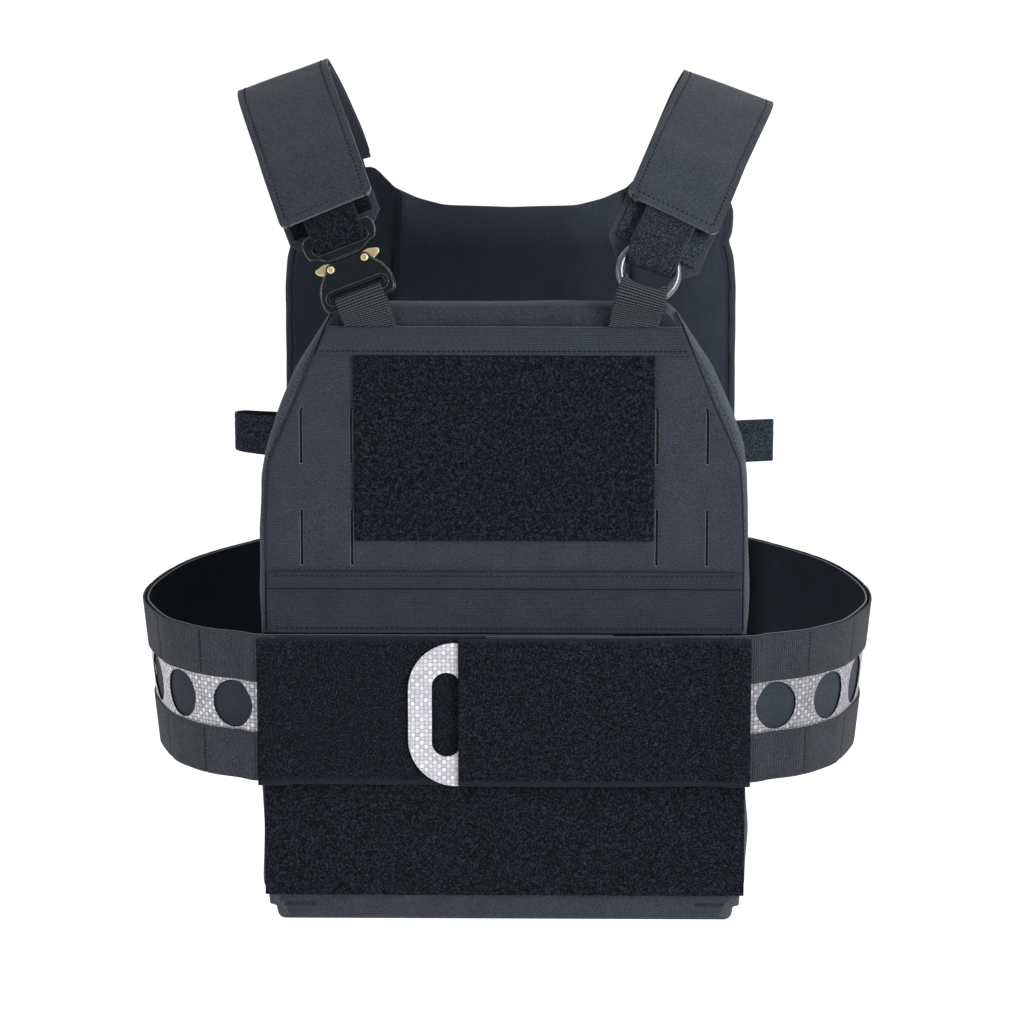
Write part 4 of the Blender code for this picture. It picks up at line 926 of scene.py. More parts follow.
def band_step(across, height):
    """The lower band's upper part lies over its lower part."""
    return 0.0007 * (1 / (1 + np.exp(-(height - LOWER_BAND_LINE) / 0.0002))) + pressed(height, *LOWER_SEAMS)


def fuzz(places, clump):
    """How far loop pile stands out at these places."""
    return bumps(places, 0.0021, 2.0) * 0.00022 + bumps(places, clump, 4.0) * 0.00012


def front_sheets():
    for word, side in SIDES:
        # A dark cord along the panel's edge: its seam, and partly painted shadow in the gap under the edge.
        tube("panel_seam_shadow_" + word, edge_line(side), 0.0007, "thread")
    edges = [c + s * SLIT_WIDTH / 2 for c in SLIT_COLUMNS for s in (-1, 1)]
    columns = sorted({side * edge for side in (-1, 1) for edge in edges})
    lines = [z for top in SLIT_TOPS for z in (top, top - SLIT_LENGTH)]
    grid = front_grid(PANEL_LOW, PANEL_TOP, panel_half, LAYER_1, 0.0022, edge_groove, lines, columns)
    middle = (grid[0][:-1, :-1] + grid[0][1:, 1:]) / 2
    keep = np.ones(middle.shape[:2], bool)
    for column in SLIT_COLUMNS:
        for top in SLIT_TOPS:
            near = np.abs(np.abs(middle[..., 0]) - column) < SLIT_WIDTH / 2
            keep &= ~(near & (middle[..., 2] < top) & (middle[..., 2] > top - SLIT_LENGTH))
    # The panel's cut edges, round its rim and slits, carry a painted highlight.
    paints, thickness = "laminate laminate cover_edge", SHEET - 0.0002
    panel = cloth("front_face_panel", grid, paints, thickness, "laminate_cloth", keep, edge=0.0003, cut=True)

    lower_rows = [LOWER_BAND_LINE + d for d in (-0.0010, -0.0003, 0.0003, 0.0010)]
    lower_rows += [LOWER_BAND_TOP - d for d in (0.0010, 0.0021, 0.0032)]
    lower_rows += [PANEL_LOW + d for d in (0.0014, 0.0025, 0.0036)]
    top_rows = [BAND_LOW + d for d in (0.0010, 0.0021, 0.0032)]
    top_seams = [seam_line((-0.0945, TOP_SEAM), (0.0945, TOP_SEAM), BAND_FACE)]
    lower_seams = [
        seam_line((-0.1195, height), (0.1195, height), BAND_FACE - lift)
        for height, lift in zip(LOWER_SEAMS, (0.0003, 0.0))
    ]
    bands = (
        ("top_band", "band", BAND_LOW, PANEL_TOP, band_groove, top_rows, top_seams, 0.196),
        ("lower_band", "lower_band", PANEL_LOW, LOWER_BAND_TOP, band_step, lower_rows, lower_seams, 0.247),
    )
    for word, paint, low, high, relief, rows, seams, width in bands:
        grid = front_grid(low, high, panel_half, LAYER_2, BAND_STEP, relief, rows, inset=0.0005)
        band = cloth("front_" + word, grid, paint, BAND, "laminate_cloth", edge=0.0003)
        thread = stitches(word + "_stitches", seams, "dark_thread", 0.0016, 0.0010)
    # A dark cord under the lower band's step: a painted shadow line.
    fold = [(x, BAND_FACE - 0.0001, LOWER_BAND_LINE - 0.0004) for x in np.linspace(-0.1232, 0.1232, 80)]
    tube("lower_band_shadow_cord", fold, 0.00045, "dark_thread")
    tacks = [seam_line((x, TACK_HEIGHT), (end, TACK_HEIGHT), FRONT - 0.0002, count=30) for x, end in BAR_TACKS]
    stitches("bar_tacks", tacks, "thread", 0.0024, -0.0010, 0.0003, slant=2.5)

    patch_depth = FRONT - 2 * GAP - SHEET - SHEET / 2
    pile("front_loop_patch", PATCH_LOW, BAND_LOW - GAP, PATCH_HALF_WIDTH, patch_depth, panel)
    pile("front_loop_field", FIELD_LOW, PANEL_LOW - GAP, FIELD_HALF_WIDTH, LAYER_1, "front_bag")


def pile(name, low, high, half_width, depth, carrier):
    def relief(across, height):
        return fuzz(np.stack([across, np.zeros_like(across), height], axis=-1), 0.011)

    grid = front_grid(low, high, lambda z: half_width, depth, PILE_STEP, relief)
    obj = cloth(name, grid, "loop", SHEET - 0.0003, "loop_fabric", edge=0.0005)


# Cummerbund

ARM_TOP = -0.0648 - CREST_HEIGHT
ARM_LOW = -0.1433 - CREST_HEIGHT
TOP_ROW_LOW = -0.0900 - CREST_HEIGHT
BOTTOM_ROW_TOP = -0.1172 - CREST_HEIGHT
CORE_LOW = BOTTOM_ROW_TOP - 0.0040
CORE_HIGH = TOP_ROW_LOW + 0.0040
EDGE_ACROSS = 0.1278
ARM_FRONT = -0.1141
# Each layer's offset from the arm's line, and its thickness
LINING = (0.0, 0.0012)
CORE = (0.0016, 0.0008)
ROW = (0.0027, 0.0010)
FRONT_PANEL_LOW = 0.0015
FRONT_PANEL_HIGH = 0.0041
FRONT_PANEL = 0.0015
ARM_OVER = ARM_FRONT - FRONT_PANEL_LOW - FRONT_PANEL - GAP
# Rows of across, depth, and how far the arm leans in from top to bottom
ARM_PLAN = (
    (EDGE_ACROSS, ARM_FRONT, 0.0), (0.1370, -0.1083, 0.0), (0.1560, -0.0998, 0.0025),
    (0.1700, -0.0870, 0.0047), (0.1795, -0.0745, 0.0064), (0.1892, -0.0480, 0.0077),
    (0.1933, -0.0280, 0.0081), (0.1925, 0.0010, 0.0081), (0.1840, 0.0410, 0.0077),
    (0.1705, 0.0740, 0.0060), (0.1480, 0.1070, 0.0026), (0.1375, 0.1200, 0.0008),
    (0.1280, 0.1272, 0.0), (0.1120, 0.1285, 0.0), (0.0600, 0.1285, 0.0), (0.0030, 0.1285, 0.0),
)
RIGHT_FRONT = (
    (-0.0240, ARM_OVER), (0.0600, ARM_OVER), (0.0720, ARM_OVER + 0.0003), (0.1000, ARM_OVER + 0.0019),
)
LEFT_FRONT = ((-0.0580, ARM_FRONT), (0.0300, ARM_FRONT), (0.1000, ARM_FRONT))
PANEL_DROP = 0.0020
PANEL_STEP = PILE_STEP * 1.2
UNDER_PANEL = 0.0090
PANEL_RISE = (-UNDER_PANEL - 0.0080, -UNDER_PANEL - 0.0010)
RIGHT_ENDS = (-0.1524, -0.1374)
LEFT_ENDS = (-0.1850, -0.1850)
FIRST_HOLE = 0.0155
HOLE_PITCH = 0.0381
HOLE_RADIUS = 0.0127
HOLES = 8
HOLE_STEPS = 8
HOLE_RINGS = 4
ARM_CELL = 0.0040
TACK_WIDTH = 0.0011
TACK_DIP = 0.0006


class Arm:
    """One arm of the cummerbund in plan, with lengths measured from the panel's outer edge."""

    def __init__(self, side, front):
        self.side = side
        points = smoothed([*[(*row, 0.0) for row in front], *ARM_PLAN], 240)
        run = lengths(points[:, :2])
        edge = np.argmin(np.abs(points[:, :2] - (EDGE_ACROSS, ARM_FRONT)).sum(axis=1))
        self.run = run - run[edge]
        tangents = unit(np.gradient(points[:, :2], axis=0))
        self.table = np.column_stack([points, tangents[:, 1], -tangents[:, 0]])

    def at(self, run, offset, height):
        x, y, lean, x_out, y_out = (np.interp(run, self.run, column) for column in self.table.T)
        down = (ARM_TOP - height) / (ARM_TOP - ARM_LOW)
        return (self.side * (x + x_out * offset - lean * down), y + y_out * offset, height)

    def grid(self, runs, heights, offset):
        """Rows of points at heights from low to high, and their places on the flat cloth."""
        points = [[self.at(run, offset(run), height) for run in runs] for height in heights]
        return np.array(points), np.array([[(run, height) for run in runs] for height in heights])

    def seam(self, run, low, high, offset, count=14):
        points = [self.at(run, offset, height) for height in np.linspace(low, high, count)]
        ahead = np.array(self.at(run, offset + 0.001, high)) - self.at(run, offset, high)
        return points, [unit(ahead)] * count


def arm_layers(word, side, front, panel_end, lining_end):
    arm = Arm(side, front)
    flip = side < 0
    back = arm.run[-1]
    label = f"cummerbund_{word}_"
    tacks = [FIRST_HOLE + HOLE_PITCH * (i + 0.5) for i in range(HOLES)]

    runs = spread(lining_end, back, ARM_CELL)
    grid = arm.grid(runs, spread(ARM_LOW, ARM_TOP, 0.0050), lambda run: LINING[0] + LINING[1] / 2)
    # The right arm's inner side takes the lining painted lighter, as lit.
    paints = f"behind_holes {'right_lining' if side > 0 else 'lining'} arm_edge"
    lining = cloth(label + "lining", grid, paints, LINING[1], "lining_cloth", flip=flip, two_sided=True)

    # Each arm's laminate takes its own copy, with painted light or shade.
    core_sheet(arm, label + "core", flip, "core_" + word)

    def elastic_offset(run):
        dip = max(math.exp(-(((run - tack) / TACK_WIDTH) ** 2)) for tack in tacks)
        return ROW[0] + ROW[1] / 2 - TACK_DIP * dip

    fixed = [run + d for run in tacks for d in (-0.0012, 0.0, 0.0012)]
    runs = spread(-UNDER_PANEL, back, ARM_CELL, *fixed)
    for row, low, high in (("top_row", TOP_ROW_LOW, ARM_TOP), ("bottom_row", ARM_LOW, BOTTOM_ROW_TOP)):
        grid = arm.grid(runs, spread(low, high, 0.0042), elastic_offset)
        # Each arm's rows take their own copy of the elastic, with painted light or shade.
        elastic = cloth(label + row, grid, "elastic_" + word, ROW[1], "elastic", flip=flip, edge=0.0003)
        seams = [arm.seam(run, low + 0.001, high - 0.001, ROW[0] + ROW[1] - TACK_DIP) for run in tacks]
        thread = stitches(label + row + "_tacks", seams, "dark_thread", 0.0018, 0.0001, 0.00045, slant=0.5)

    low, high = ARM_LOW - PANEL_DROP, ARM_TOP - PANEL_DROP / 2
    runs, heights = spread(panel_end, 0.0, PANEL_STEP), spread(low, high, PANEL_STEP)
    offsets = (FRONT_PANEL_LOW, FRONT_PANEL_HIGH)
    points, flat = arm.grid(runs, heights, lambda run: np.interp(run, PANEL_RISE, offsets) + FRONT_PANEL / 2)
    places = np.array([[(run, side * 0.05, height) for run in runs] for height in heights])
    grid, thickness = (raised(points, side * fuzz(places, 0.012)), flat), FRONT_PANEL - 0.0003
    panel = cloth(label + "front_panel", grid, "loop", thickness, "loop_fabric", flip=flip, edge=0.0005)
    edge = np.minimum(heights - low, (high - heights) * 1.6)
    plain = np.clip((0.0032 - edge) / 0.001, 0, 1)
    with_selvedge(panel, np.repeat(plain[:, None], len(runs), axis=1))


def core_sheet(arm, name, flip, paint):
    """The laminate strip with its row of round holes, each in a square cell of rings of points."""
    middle = (TOP_ROW_LOW + BOTTOM_ROW_TOP) / 2
    half, reach = HOLE_PITCH / 2, (CORE_HIGH - CORE_LOW) / 2
    rim = []
    for corner in range(4 * HOLE_STEPS):
        edge, step = divmod(corner, HOLE_STEPS)
        share = -1 + 2 * step / HOLE_STEPS
        rim.append(((share, -1), (1, share), (-share, 1), (-1, -share))[edge])
    flat, faces = [], []
    for index in range(HOLES):
        centre = FIRST_HOLE + index * HOLE_PITCH
        faces += ring_faces(HOLE_RINGS, len(rim), len(flat), flip=True)
        for ring in np.linspace(0.0, 1.0, HOLE_RINGS):
            for u, v in rim:
                angle = math.atan2(v * reach, u * half)
                x, y = HOLE_RADIUS * math.cos(angle), HOLE_RADIUS * math.sin(angle)
                flat.append((centre + x + (u * half - x) * ring, middle + y + (v * reach - y) * ring))
    ends = ((-UNDER_PANEL, FIRST_HOLE - half), (FIRST_HOLE + (HOLES - 0.5) * HOLE_PITCH, arm.run[-1]))
    for first, last in ends:
        runs = spread(first, last, ARM_CELL)
        heights = np.linspace(CORE_LOW, CORE_HIGH, HOLE_STEPS + 1)
        faces += [tuple(len(flat) + i for i in face) for face in grid_faces(len(heights), len(runs))]
        flat += [(run, height) for height in heights for run in runs]
    points = [arm.at(run, CORE[0] + CORE[1] / 2, height) for run, height in flat]
    if flip:
        faces = [face[::-1] for face in faces]
    obj = mesh_object(name, points, faces, paint + " dark_thread", flat)
    with edited(obj.data) as mesh:
        bmesh.ops.remove_doubles(mesh, verts=mesh.verts, dist=0.00001)
    thicken(obj, CORE[1], 0.0002)
    settle(obj, "composite_laminate", name)


def arc(centre, radius, start, end, count):
    """Points on an arc between two angles in degrees."""
    angles = np.radians(np.linspace(start, end, count))
    return [(centre[0] + radius * math.cos(a), centre[1] + radius * math.sin(a)) for a in angles]


def plate(name, outlines, thickness, edge, paints, place):
    """A flat outline with holes, given thickness and rounded edges, in its place."""
    curve = bpy.data.curves.new(name, "CURVE")
    curve.dimensions = "2D"
    curve.fill_mode = "BOTH"
    curve.extrude = thickness / 2 - edge
    curve.bevel_depth = edge
    curve.bevel_resolution = 2
    curve.offset = -edge
    for outline in outlines:
        spline = curve.splines.new("POLY")
        spline.points.add(len(outline) - 1)
        for point, (across, up) in zip(spline.points, outline):
            point.co = (across, up, 0.0, 1.0)
        spline.use_cyclic_u = True
    drawn = linked(name + "_drawn", curve)
    mesh = final_mesh(drawn)
    bpy.data.objects.remove(drawn)
    welded(mesh, 0.000005)
    layer = mesh.uv_layers.new(name="cloth")
    for corner in mesh.loops:
        layer.data[corner.index].uv = mesh.vertices[corner.vertex_index].co[:2]
    mesh.transform(place)
    mesh.materials.clear()
    for paint in paints.split():
        mesh.materials.append(PAINTS[paint])
    mesh.shade_smooth()
    obj = linked(name, mesh)
    obj.modifiers.new("normals", "WEIGHTED_NORMAL").keep_sharp = True
    return obj


def welded(mesh, distance):
    """Joins the mesh's doubled points and turns its faces outwards."""
    with edited(mesh) as opened:
        bmesh.ops.remove_doubles(opened, verts=opened.verts, dist=distance)
        bmesh.ops.recalc_face_normals(opened, faces=opened.faces)


GRIP_LEFT = -0.0502
GRIP_RIGHT = -0.0100
GRIP_HALF_HEIGHT = 0.0385
GRIP_CORNER = 0.0250
GRIP_HOLE = (-0.0378, -0.0225)
GRIP_HOLE_HALF_HEIGHT = 0.0226
GRIP_THICK = 0.0012
GRIP_MIDDLE = -0.1070 - CREST_HEIGHT


def pull_tab():
    top, low = GRIP_MIDDLE + GRIP_HALF_HEIGHT, GRIP_MIDDLE - GRIP_HALF_HEIGHT
    turn = GRIP_LEFT + GRIP_CORNER
    outline = [
        (GRIP_RIGHT, low),
        (GRIP_RIGHT, top),
        *arc((turn, top - GRIP_CORNER), GRIP_CORNER, 90, 180, 19),
        *arc((turn, low + GRIP_CORNER), GRIP_CORNER, 180, 270, 19),
    ]
    radius = (GRIP_HOLE[1] - GRIP_HOLE[0]) / 2
    middle = sum(GRIP_HOLE) / 2
    reach = GRIP_HOLE_HALF_HEIGHT - radius
    hole = arc((middle, GRIP_MIDDLE + reach), radius, 0, 180, 19)
    hole += arc((middle, GRIP_MIDDLE - reach), radius, 180, 360, 19)
    place = Matrix.Translation((0, ARM_OVER - GRIP_THICK / 2, 0)) @ Matrix.Rotation(math.pi / 2, 4, "X")
    obj = plate("pull_tab", [outline, hole], GRIP_THICK, 0.0003, "composite", place)
    settle(obj, "composite_laminate", "pull_tab")


# Back flap and side loops

FLAP_HALF_WIDTH = 0.1080
FLAP_TOP_DEPTH = 0.1291
FLAP_DEPTH = 0.1333
# Rows of depth and height
FLAP_SECTION = (
    (FLAP_TOP_DEPTH, -0.0420 - CREST_HEIGHT),
    (FLAP_TOP_DEPTH, -0.0500 - CREST_HEIGHT),
    (0.1318, -0.0570 - CREST_HEIGHT),
    (FLAP_DEPTH, -0.0620 - CREST_HEIGHT),
    (FLAP_DEPTH, -0.1000 - CREST_HEIGHT),
    (FLAP_DEPTH, -0.1560 - CREST_HEIGHT),
)
FLAP_HEM = 0.004


def back_flap():
    section = smoothed(FLAP_SECTION, 42)[::-1]
    across = spread(-FLAP_HALF_WIDTH, FLAP_HALF_WIDTH, 0.004)[::-1]
    points = np.array([[(x, depth, up) for x in across] for depth, up in section])
    points[..., 1] += bumps(points, 0.03, 1.0) * 0.0002
    grid = (points, points[..., [0, 2]])
    flap = cloth("back_flap", grid, "laminate lining cover_edge", SHEET, "laminate_cloth", two_sided=True)
    side, low, high = FLAP_HALF_WIDTH - FLAP_HEM, FLAP_SECTION[-1][1] + FLAP_HEM, FLAP_SECTION[3][1]
    first, second = FLAP_SECTION[0][1] - 0.0015, FLAP_SECTION[1][1] + 0.001
    lines = (
        ((-side, low), (side, low), FLAP_DEPTH),
        ((-side, low), (-side, high), FLAP_DEPTH),
        ((side, low), (side, high), FLAP_DEPTH),
        ((-side, first), (side, first), FLAP_TOP_DEPTH),
        ((-side, second), (side, second), FLAP_TOP_DEPTH),
    )
    seams = [seam_line(start, end, depth + SHEET / 2, 1.0) for start, end, depth in lines]
    thread = stitches("back_flap_stitches", seams, "thread")


LOOP_HEIGHT = 0.0240
LOOP_THICK = 0.0014
LOOP_DEPTH = 0.1160
# Tip across, half the gap between the legs, top, and the tip's lift at its lower and upper edge
LEFT_LOOP = (0.1565, 0.0066, 0.0080 - CREST_HEIGHT, (0.0040, 0.0014))
RIGHT_LOOP = (0.1490, 0.0011, 0.0050 - CREST_HEIGHT, (0.0010, 0.0010))


def side_loop(name, side, paint, tip, half_gap, top, lift):
    """A strip of brushed cloth doubled outwards from the pouch's side. Its end is lifted a little."""
    root = HALF_WIDTH + (GAP if half_gap < LOOP_THICK else 0.0)
    angles = np.linspace(-math.pi / 2, math.pi / 2, 21)
    turn = [(tip - half_gap + half_gap * math.cos(a), LOOP_DEPTH + half_gap * math.sin(a)) for a in angles]
    plan = [(x, LOOP_DEPTH - half_gap) for x in np.linspace(root, turn[0][0], 14)[:-1]] + turn
    plan += [(x, LOOP_DEPTH + half_gap) for x in np.linspace(turn[-1][0], root, 14)[1:]]
    shares = spread(0.0, 1.0, 0.06)

    def point(x, y, share):
        out = (x - root) / (tip - root)
        z = top - LOOP_HEIGHT * (1 - share) + out * (lift[0] + (lift[1] - lift[0]) * share)
        return (side * x, y, z)

    points = np.array([[point(x, y, share) for x, y in plan] for share in shares])
    points = raised(points, bumps(points, 0.0023, 3.0) * 0.0002)
    run = lengths(plan)
    flat = np.array([[(r, share * LOOP_HEIGHT) for r in run] for share in shares])
    thickness = LOOP_THICK - 0.0002
    obj = cloth(name, (points, flat), paint, thickness, "elastic", flip=side < 0, edge=0.0005)


# Shoulder straps

# Rows of the left strap's across, the right strap's across, depth and height
STRAP_PATH = (
    (0.0685, 0.0663, -0.0015, 0.0980), (0.0705, 0.0677, -0.0018, 0.1040),
    (0.0727, 0.0691, -0.0013, 0.1100), (0.0764, 0.0716, 0.0021, 0.1200),
    (0.0802, 0.0746, 0.0056, 0.1300), (0.0845, 0.0786, 0.0094, 0.1400),
    (0.0889, 0.0830, 0.0140, 0.1500), (0.0932, 0.0878, 0.0210, 0.1600),
    (0.0985, 0.0935, 0.0320, 0.1720), (0.1045, 0.0998, 0.0475, 0.1850),
    (0.1108, 0.1068, 0.0670, 0.1970), (0.1160, 0.1128, 0.0880, 0.2060),
    (0.1186, 0.1160, 0.1030, 0.2100), (0.1193, 0.1172, 0.1150, 0.2112),
    (0.1192, 0.1172, 0.1310, 0.2090), (0.1173, 0.1154, 0.1510, 0.2015),
    (0.1138, 0.1120, 0.1710, 0.1905), (0.1095, 0.1078, 0.1880, 0.1770),
    (0.1056, 0.1040, 0.2000, 0.1650), (0.1028, 0.1015, 0.2090, 0.1545),
    (0.1014, 0.1005, 0.2165, 0.1475), (0.1006, 0.1003, 0.2215, 0.1438),
)
CROSS_SLOPE = math.radians(20)
STRAP_FOOT = 0.0980
RIGHT_RISE = 0.944
REAR_START = 0.1150
BASE_THICK = 0.0016
INNER_THICK = 0.0022
INNER_HALF_WIDTH = 0.0205
COVER_THICK = 0.0016
COVER_WIDTH = 0.0508
PATCH_THICK = 0.0010
TAB_THICK = 0.0018
TAB_WIDTH = 0.0275
WEBBING_WIDTH = 0.0254
WEBBING_THICK = 0.0014
RING_RADIUS = 0.01475
RING_WIRE = 0.00225
BASE_OUT = -INNER_THICK / 2 - GAP - BASE_THICK / 2
PATCH_OUT = BASE_OUT + BASE_THICK / 2 + GAP + PATCH_THICK / 2
LEG_1_OUT = PATCH_OUT + PATCH_THICK / 2 + GAP + TAB_THICK / 2
LEG_2_OUT = LEG_1_OUT + TAB_THICK + GAP
COVER_LOW_OUT = INNER_THICK / 2 + GAP + COVER_THICK / 2
PATCH_FROM_END = 0.0105
PATCH_LENGTH = 0.0275
PATCH_INSET = 0.0035
CORNER_CLIP = 0.0090
COVER_END_FROM_EAR = 0.0140
TAB_END = 0.0960
INNER_START = 0.1060
INNER_SHORT = 0.0040
COVER_DOWN = (TAB_END, TAB_END + 0.0220)
COVER_CORNER = 0.0035
COVER_HEM = 0.0038
COVER_END_HEM = 0.0042
STRAP_STEP = 0.0030
EAR_SEARCH = 0.0080
FOLD_STEPS = 17
FOOT_HEIGHT = 0.0025


class Strap:
    """A shoulder strap's smooth middle line, with a frame at each length along it."""

    def __init__(self, side, rise):
        rows = []
        for left_across, right_across, depth, height in STRAP_PATH:
            across = left_across if side < 0 else right_across
            share = np.interp(depth, (REAR_START, STRAP_PATH[-1][2]), (rise, 1.0))
            lifted = STRAP_FOOT + (height - STRAP_FOOT) * share
            rows.append((depth - CREST_DEPTH, lifted - CREST_HEIGHT, side * across))
        points = smoothed(rows, 400)[:, [2, 0, 1]]
        self.run = lengths(points)
        slope = Vector((math.cos(CROSS_SLOPE), 0.0, -side * math.sin(CROSS_SLOPE)))
        values = []
        for point, tangent in zip(points, np.gradient(points, axis=0)):
            along = Vector(tangent).normalized()
            right = (slope - slope.dot(along) * along).normalized()
            values.append([*point, *right, *right.cross(along)])
        self.table = np.array(values)

    def frame(self, run):
        """(point, right, away): right is the viewer's right across the strap, away its outer side."""
        return np.array([np.interp(run, self.run, column) for column in self.table.T]).reshape(3, 3)

    def at(self, run, across, out):
        point, right, away = self.frame(run)
        return point + right * across + away * out

    def flat_frame(self, run, out):
        """A stiff piece's place on the strap: right, along and away."""
        point, right, away = (Vector(v) for v in self.frame(run))
        away.normalize()
        right = (right - right.dot(away) * away).normalized()
        place = Matrix((right, away.cross(right), away)).transposed().to_4x4()
        place.translation = point + away * out
        return place

    def grid(self, runs, half_width, out, columns):
        """Rows of points across the strap, with half width and distance out as sums of the run."""
        points, flat = [], []
        for run in runs:
            point, right, away = self.frame(run)
            across = [half_width(run) * share for share in columns]
            points.append([point + right * a + away * out(run, a) for a in across])
            flat.append([(a, run) for a in across])
        return np.array(points), np.array(flat)

    def seam(self, runs, across, out):
        points = [self.at(run, across, out(run)) for run in runs]
        return points, [self.frame(run)[2] for run in runs]


def tab_out(run, lead):
    return float(np.interp(run, *zip(*lead)))


def corner_inset(distance, radius):
    """How much narrower a strip with round corners is at this distance from its end."""
    if distance >= radius:
        return 0.0
    return radius - math.sqrt(max(0.0, radius**2 - (radius - distance) ** 2))


def shoulder(strap, word, base_start, cover_start, lead, ear):
    label = f"strap_{word}_"
    half = COVER_WIDTH / 2
    end = strap.run[-1]
    cover_end = end - COVER_END_FROM_EAR

    def piece(part, grid, paints, thickness, slot, size, held, carriers, threads=()):
        obj = cloth(label + part, grid, paints, thickness, slot, two_sided=" " in paints)

    def base_half(run):
        return half - GAP - max(0.0, CORNER_CLIP - (run - base_start))

    runs = spread(base_start, cover_end, STRAP_STEP, base_start + CORNER_CLIP)
    grid = strap.grid(runs, base_half, lambda run, a: BASE_OUT, np.linspace(-1, 1, 17))
    size = (COVER_WIDTH, cover_end - base_start)
    piece("base", grid, "cover under rim", BASE_THICK, "laminate_cloth", size, "hung", [label + "inner"])

    start = base_start + PATCH_FROM_END
    runs = spread(start, start + PATCH_LENGTH, PILE_STEP)
    patch_half = half - PATCH_INSET
    points, flat = strap.grid(runs, lambda run: patch_half, lambda run, a: PATCH_OUT, np.linspace(-1, 1, 31))
    grid = (raised(points, bumps(points, 0.002, 2.0) * 0.00015), flat)
    # The right patch takes its pile painted lighter, as lit.
    paint = "loop" if word == "left" else "patch_right"
    size = (COVER_WIDTH - 2 * PATCH_INSET, PATCH_LENGTH)
    piece("loop", grid, paint, PATCH_THICK, "loop_fabric", size, "laid", [label + "base"])

    def cover_out(run):
        over_tab = tab_out(run, lead) + (TAB_THICK + COVER_THICK) / 2 + GAP
        down = float(np.interp(run, COVER_DOWN, (0.0, 1.0)))
        down = down * down * (3 - 2 * down)
        return over_tab + (COVER_LOW_OUT - over_tab) * down

    def stitch_dip(run, across):
        side = ridge(half - COVER_HEM - abs(across), 0.0009)
        end_line = ridge(run - cover_start - COVER_END_HEM, 0.0009)
        return -0.00035 * max(float(side), float(end_line))

    front = [cover_start + COVER_CORNER * s for s in (0.04, 0.12, 0.25, 0.45, 0.7, 1.0)]
    runs = np.unique(np.concatenate([spread(cover_start, cover_end, STRAP_STEP, *front), front]))
    seam_lines = [s * (half - COVER_HEM + d) / half for s in (-1, 1) for d in (-0.0012, 0, 0.0012)]
    points, flat = strap.grid(
        runs,
        lambda run: half - corner_inset(run - cover_start, COVER_CORNER),
        lambda run, a: cover_out(run) + stitch_dip(run, a),
        spread(-1, 1, 0.12, *seam_lines),
    )
    grid = (raised(points, bumps(points, 0.022, 6.0) * 0.0003), flat)
    top = COVER_THICK / 2 - 0.0003
    start = cover_start + COVER_END_HEM
    runs = spread(start, cover_end - 0.004, 0.003)
    seams = [strap.seam(runs, s * (half - COVER_HEM), lambda run: cover_out(run) + top) for s in (-1, 1)]
    row = np.linspace(-half + COVER_HEM, half - COVER_HEM, 20)
    seams.append(([strap.at(start, a, cover_out(start) + top) for a in row], [strap.frame(start)[2]] * 20))
    threads = (
        stitches(label + "cover_stitches", seams, "dark_thread", 0.0018, 0.0008, 0.0004),
        stitches(label + "cover_stitch_ends", seams, "light_thread", 0.0007, 0.0019, 0.00034, 0.0),
    )
    size = (COVER_WIDTH, cover_end - cover_start)
    paints, carriers = "cover under cover_edge", [label + "tab", label + "inner"]
    piece("cover", grid, paints, COVER_THICK, "laminate_cloth", size, "hung", carriers, threads)

    runs = spread(INNER_START, end - INNER_SHORT, STRAP_STEP)
    points, flat = strap.grid(runs, lambda run: INNER_HALF_WIDTH, lambda run, a: 0.0, np.linspace(-1, 1, 13))
    away = strap.frame(runs[-1])[2]
    for column in range(points.shape[1]):
        down = unit(points[-1, column] - points[-2, column])
        free = []
        for share in (-0.5, 0.0, 0.5):
            above = points[-1, column] + away * INNER_THICK * share - down * EAR_SEARCH
            hit = ear.ray_cast(Vector(above), Vector(down), 3 * EAR_SEARCH)
            if hit[0] is not None:
                free.append(hit[3] - EAR_SEARCH)
        if free:
            points[-1, column] += down * (min(free) - GAP)
    size = (2 * INNER_HALF_WIDTH, end - INNER_SHORT - INNER_START)
    piece("inner", (points, flat), "under", INNER_THICK, "webbing", size, "hung", ["back_bag"])


def between(first, second, *shares):
    first, second = np.array(first), np.array(second)
    return [first + (second - first) * share for share in shares]


def folded(name, rows, width, thickness, paint, slot):
    """A doubled strip through its rows, smoothed along its length."""
    rows = np.array(rows)
    for _ in range(3):
        rows[1:-1] = rows[1:-1] * 0.5 + (rows[:-2] + rows[2:]) * 0.25
    columns = width / 2 * np.linspace(-1, 1, rows.shape[1])
    centre = rows.mean(axis=1)
    run = lengths(centre)
    slip = np.einsum("rci,ri->rc", rows - centre[:, None], unit(np.gradient(centre, axis=0)))
    flat = np.stack([np.broadcast_to(columns, slip.shape), run[:, None] + slip], axis=-1)
    obj = cloth(name, (rows, flat), paint, thickness, slot)
    if slot == "loop_fabric":
        plain = np.clip((np.abs(columns) - (width / 2 - 0.0014)) / 0.0008, 0, 1)
        with_selvedge(obj, np.repeat(plain[None, :], len(rows), axis=0))


def flat_row(place, shares, width, up, away, bow=0.0):
    """A row of a strip in its hardware's own frame, bowed up towards the strip's edges."""
    return [np.array(place @ Vector((width * share, up + bow * share**4, away))) for share in shares]


def turned(place, shares, half, loop):
    """The rows of a strip's turn round its bar, where it is squeezed narrower."""
    rows = []
    for angle in np.linspace(math.pi / 2, -math.pi / 2, FOLD_STEPS):
        inward = math.cos(angle)
        width = half + (loop["fold"] - half) * inward
        up, away = loop["turn"] + loop["depth"] * inward, loop["radius"] * math.sin(angle)
        rows.append(flat_row(place, shares, width, up, away, loop["bow"] * inward))
    return rows


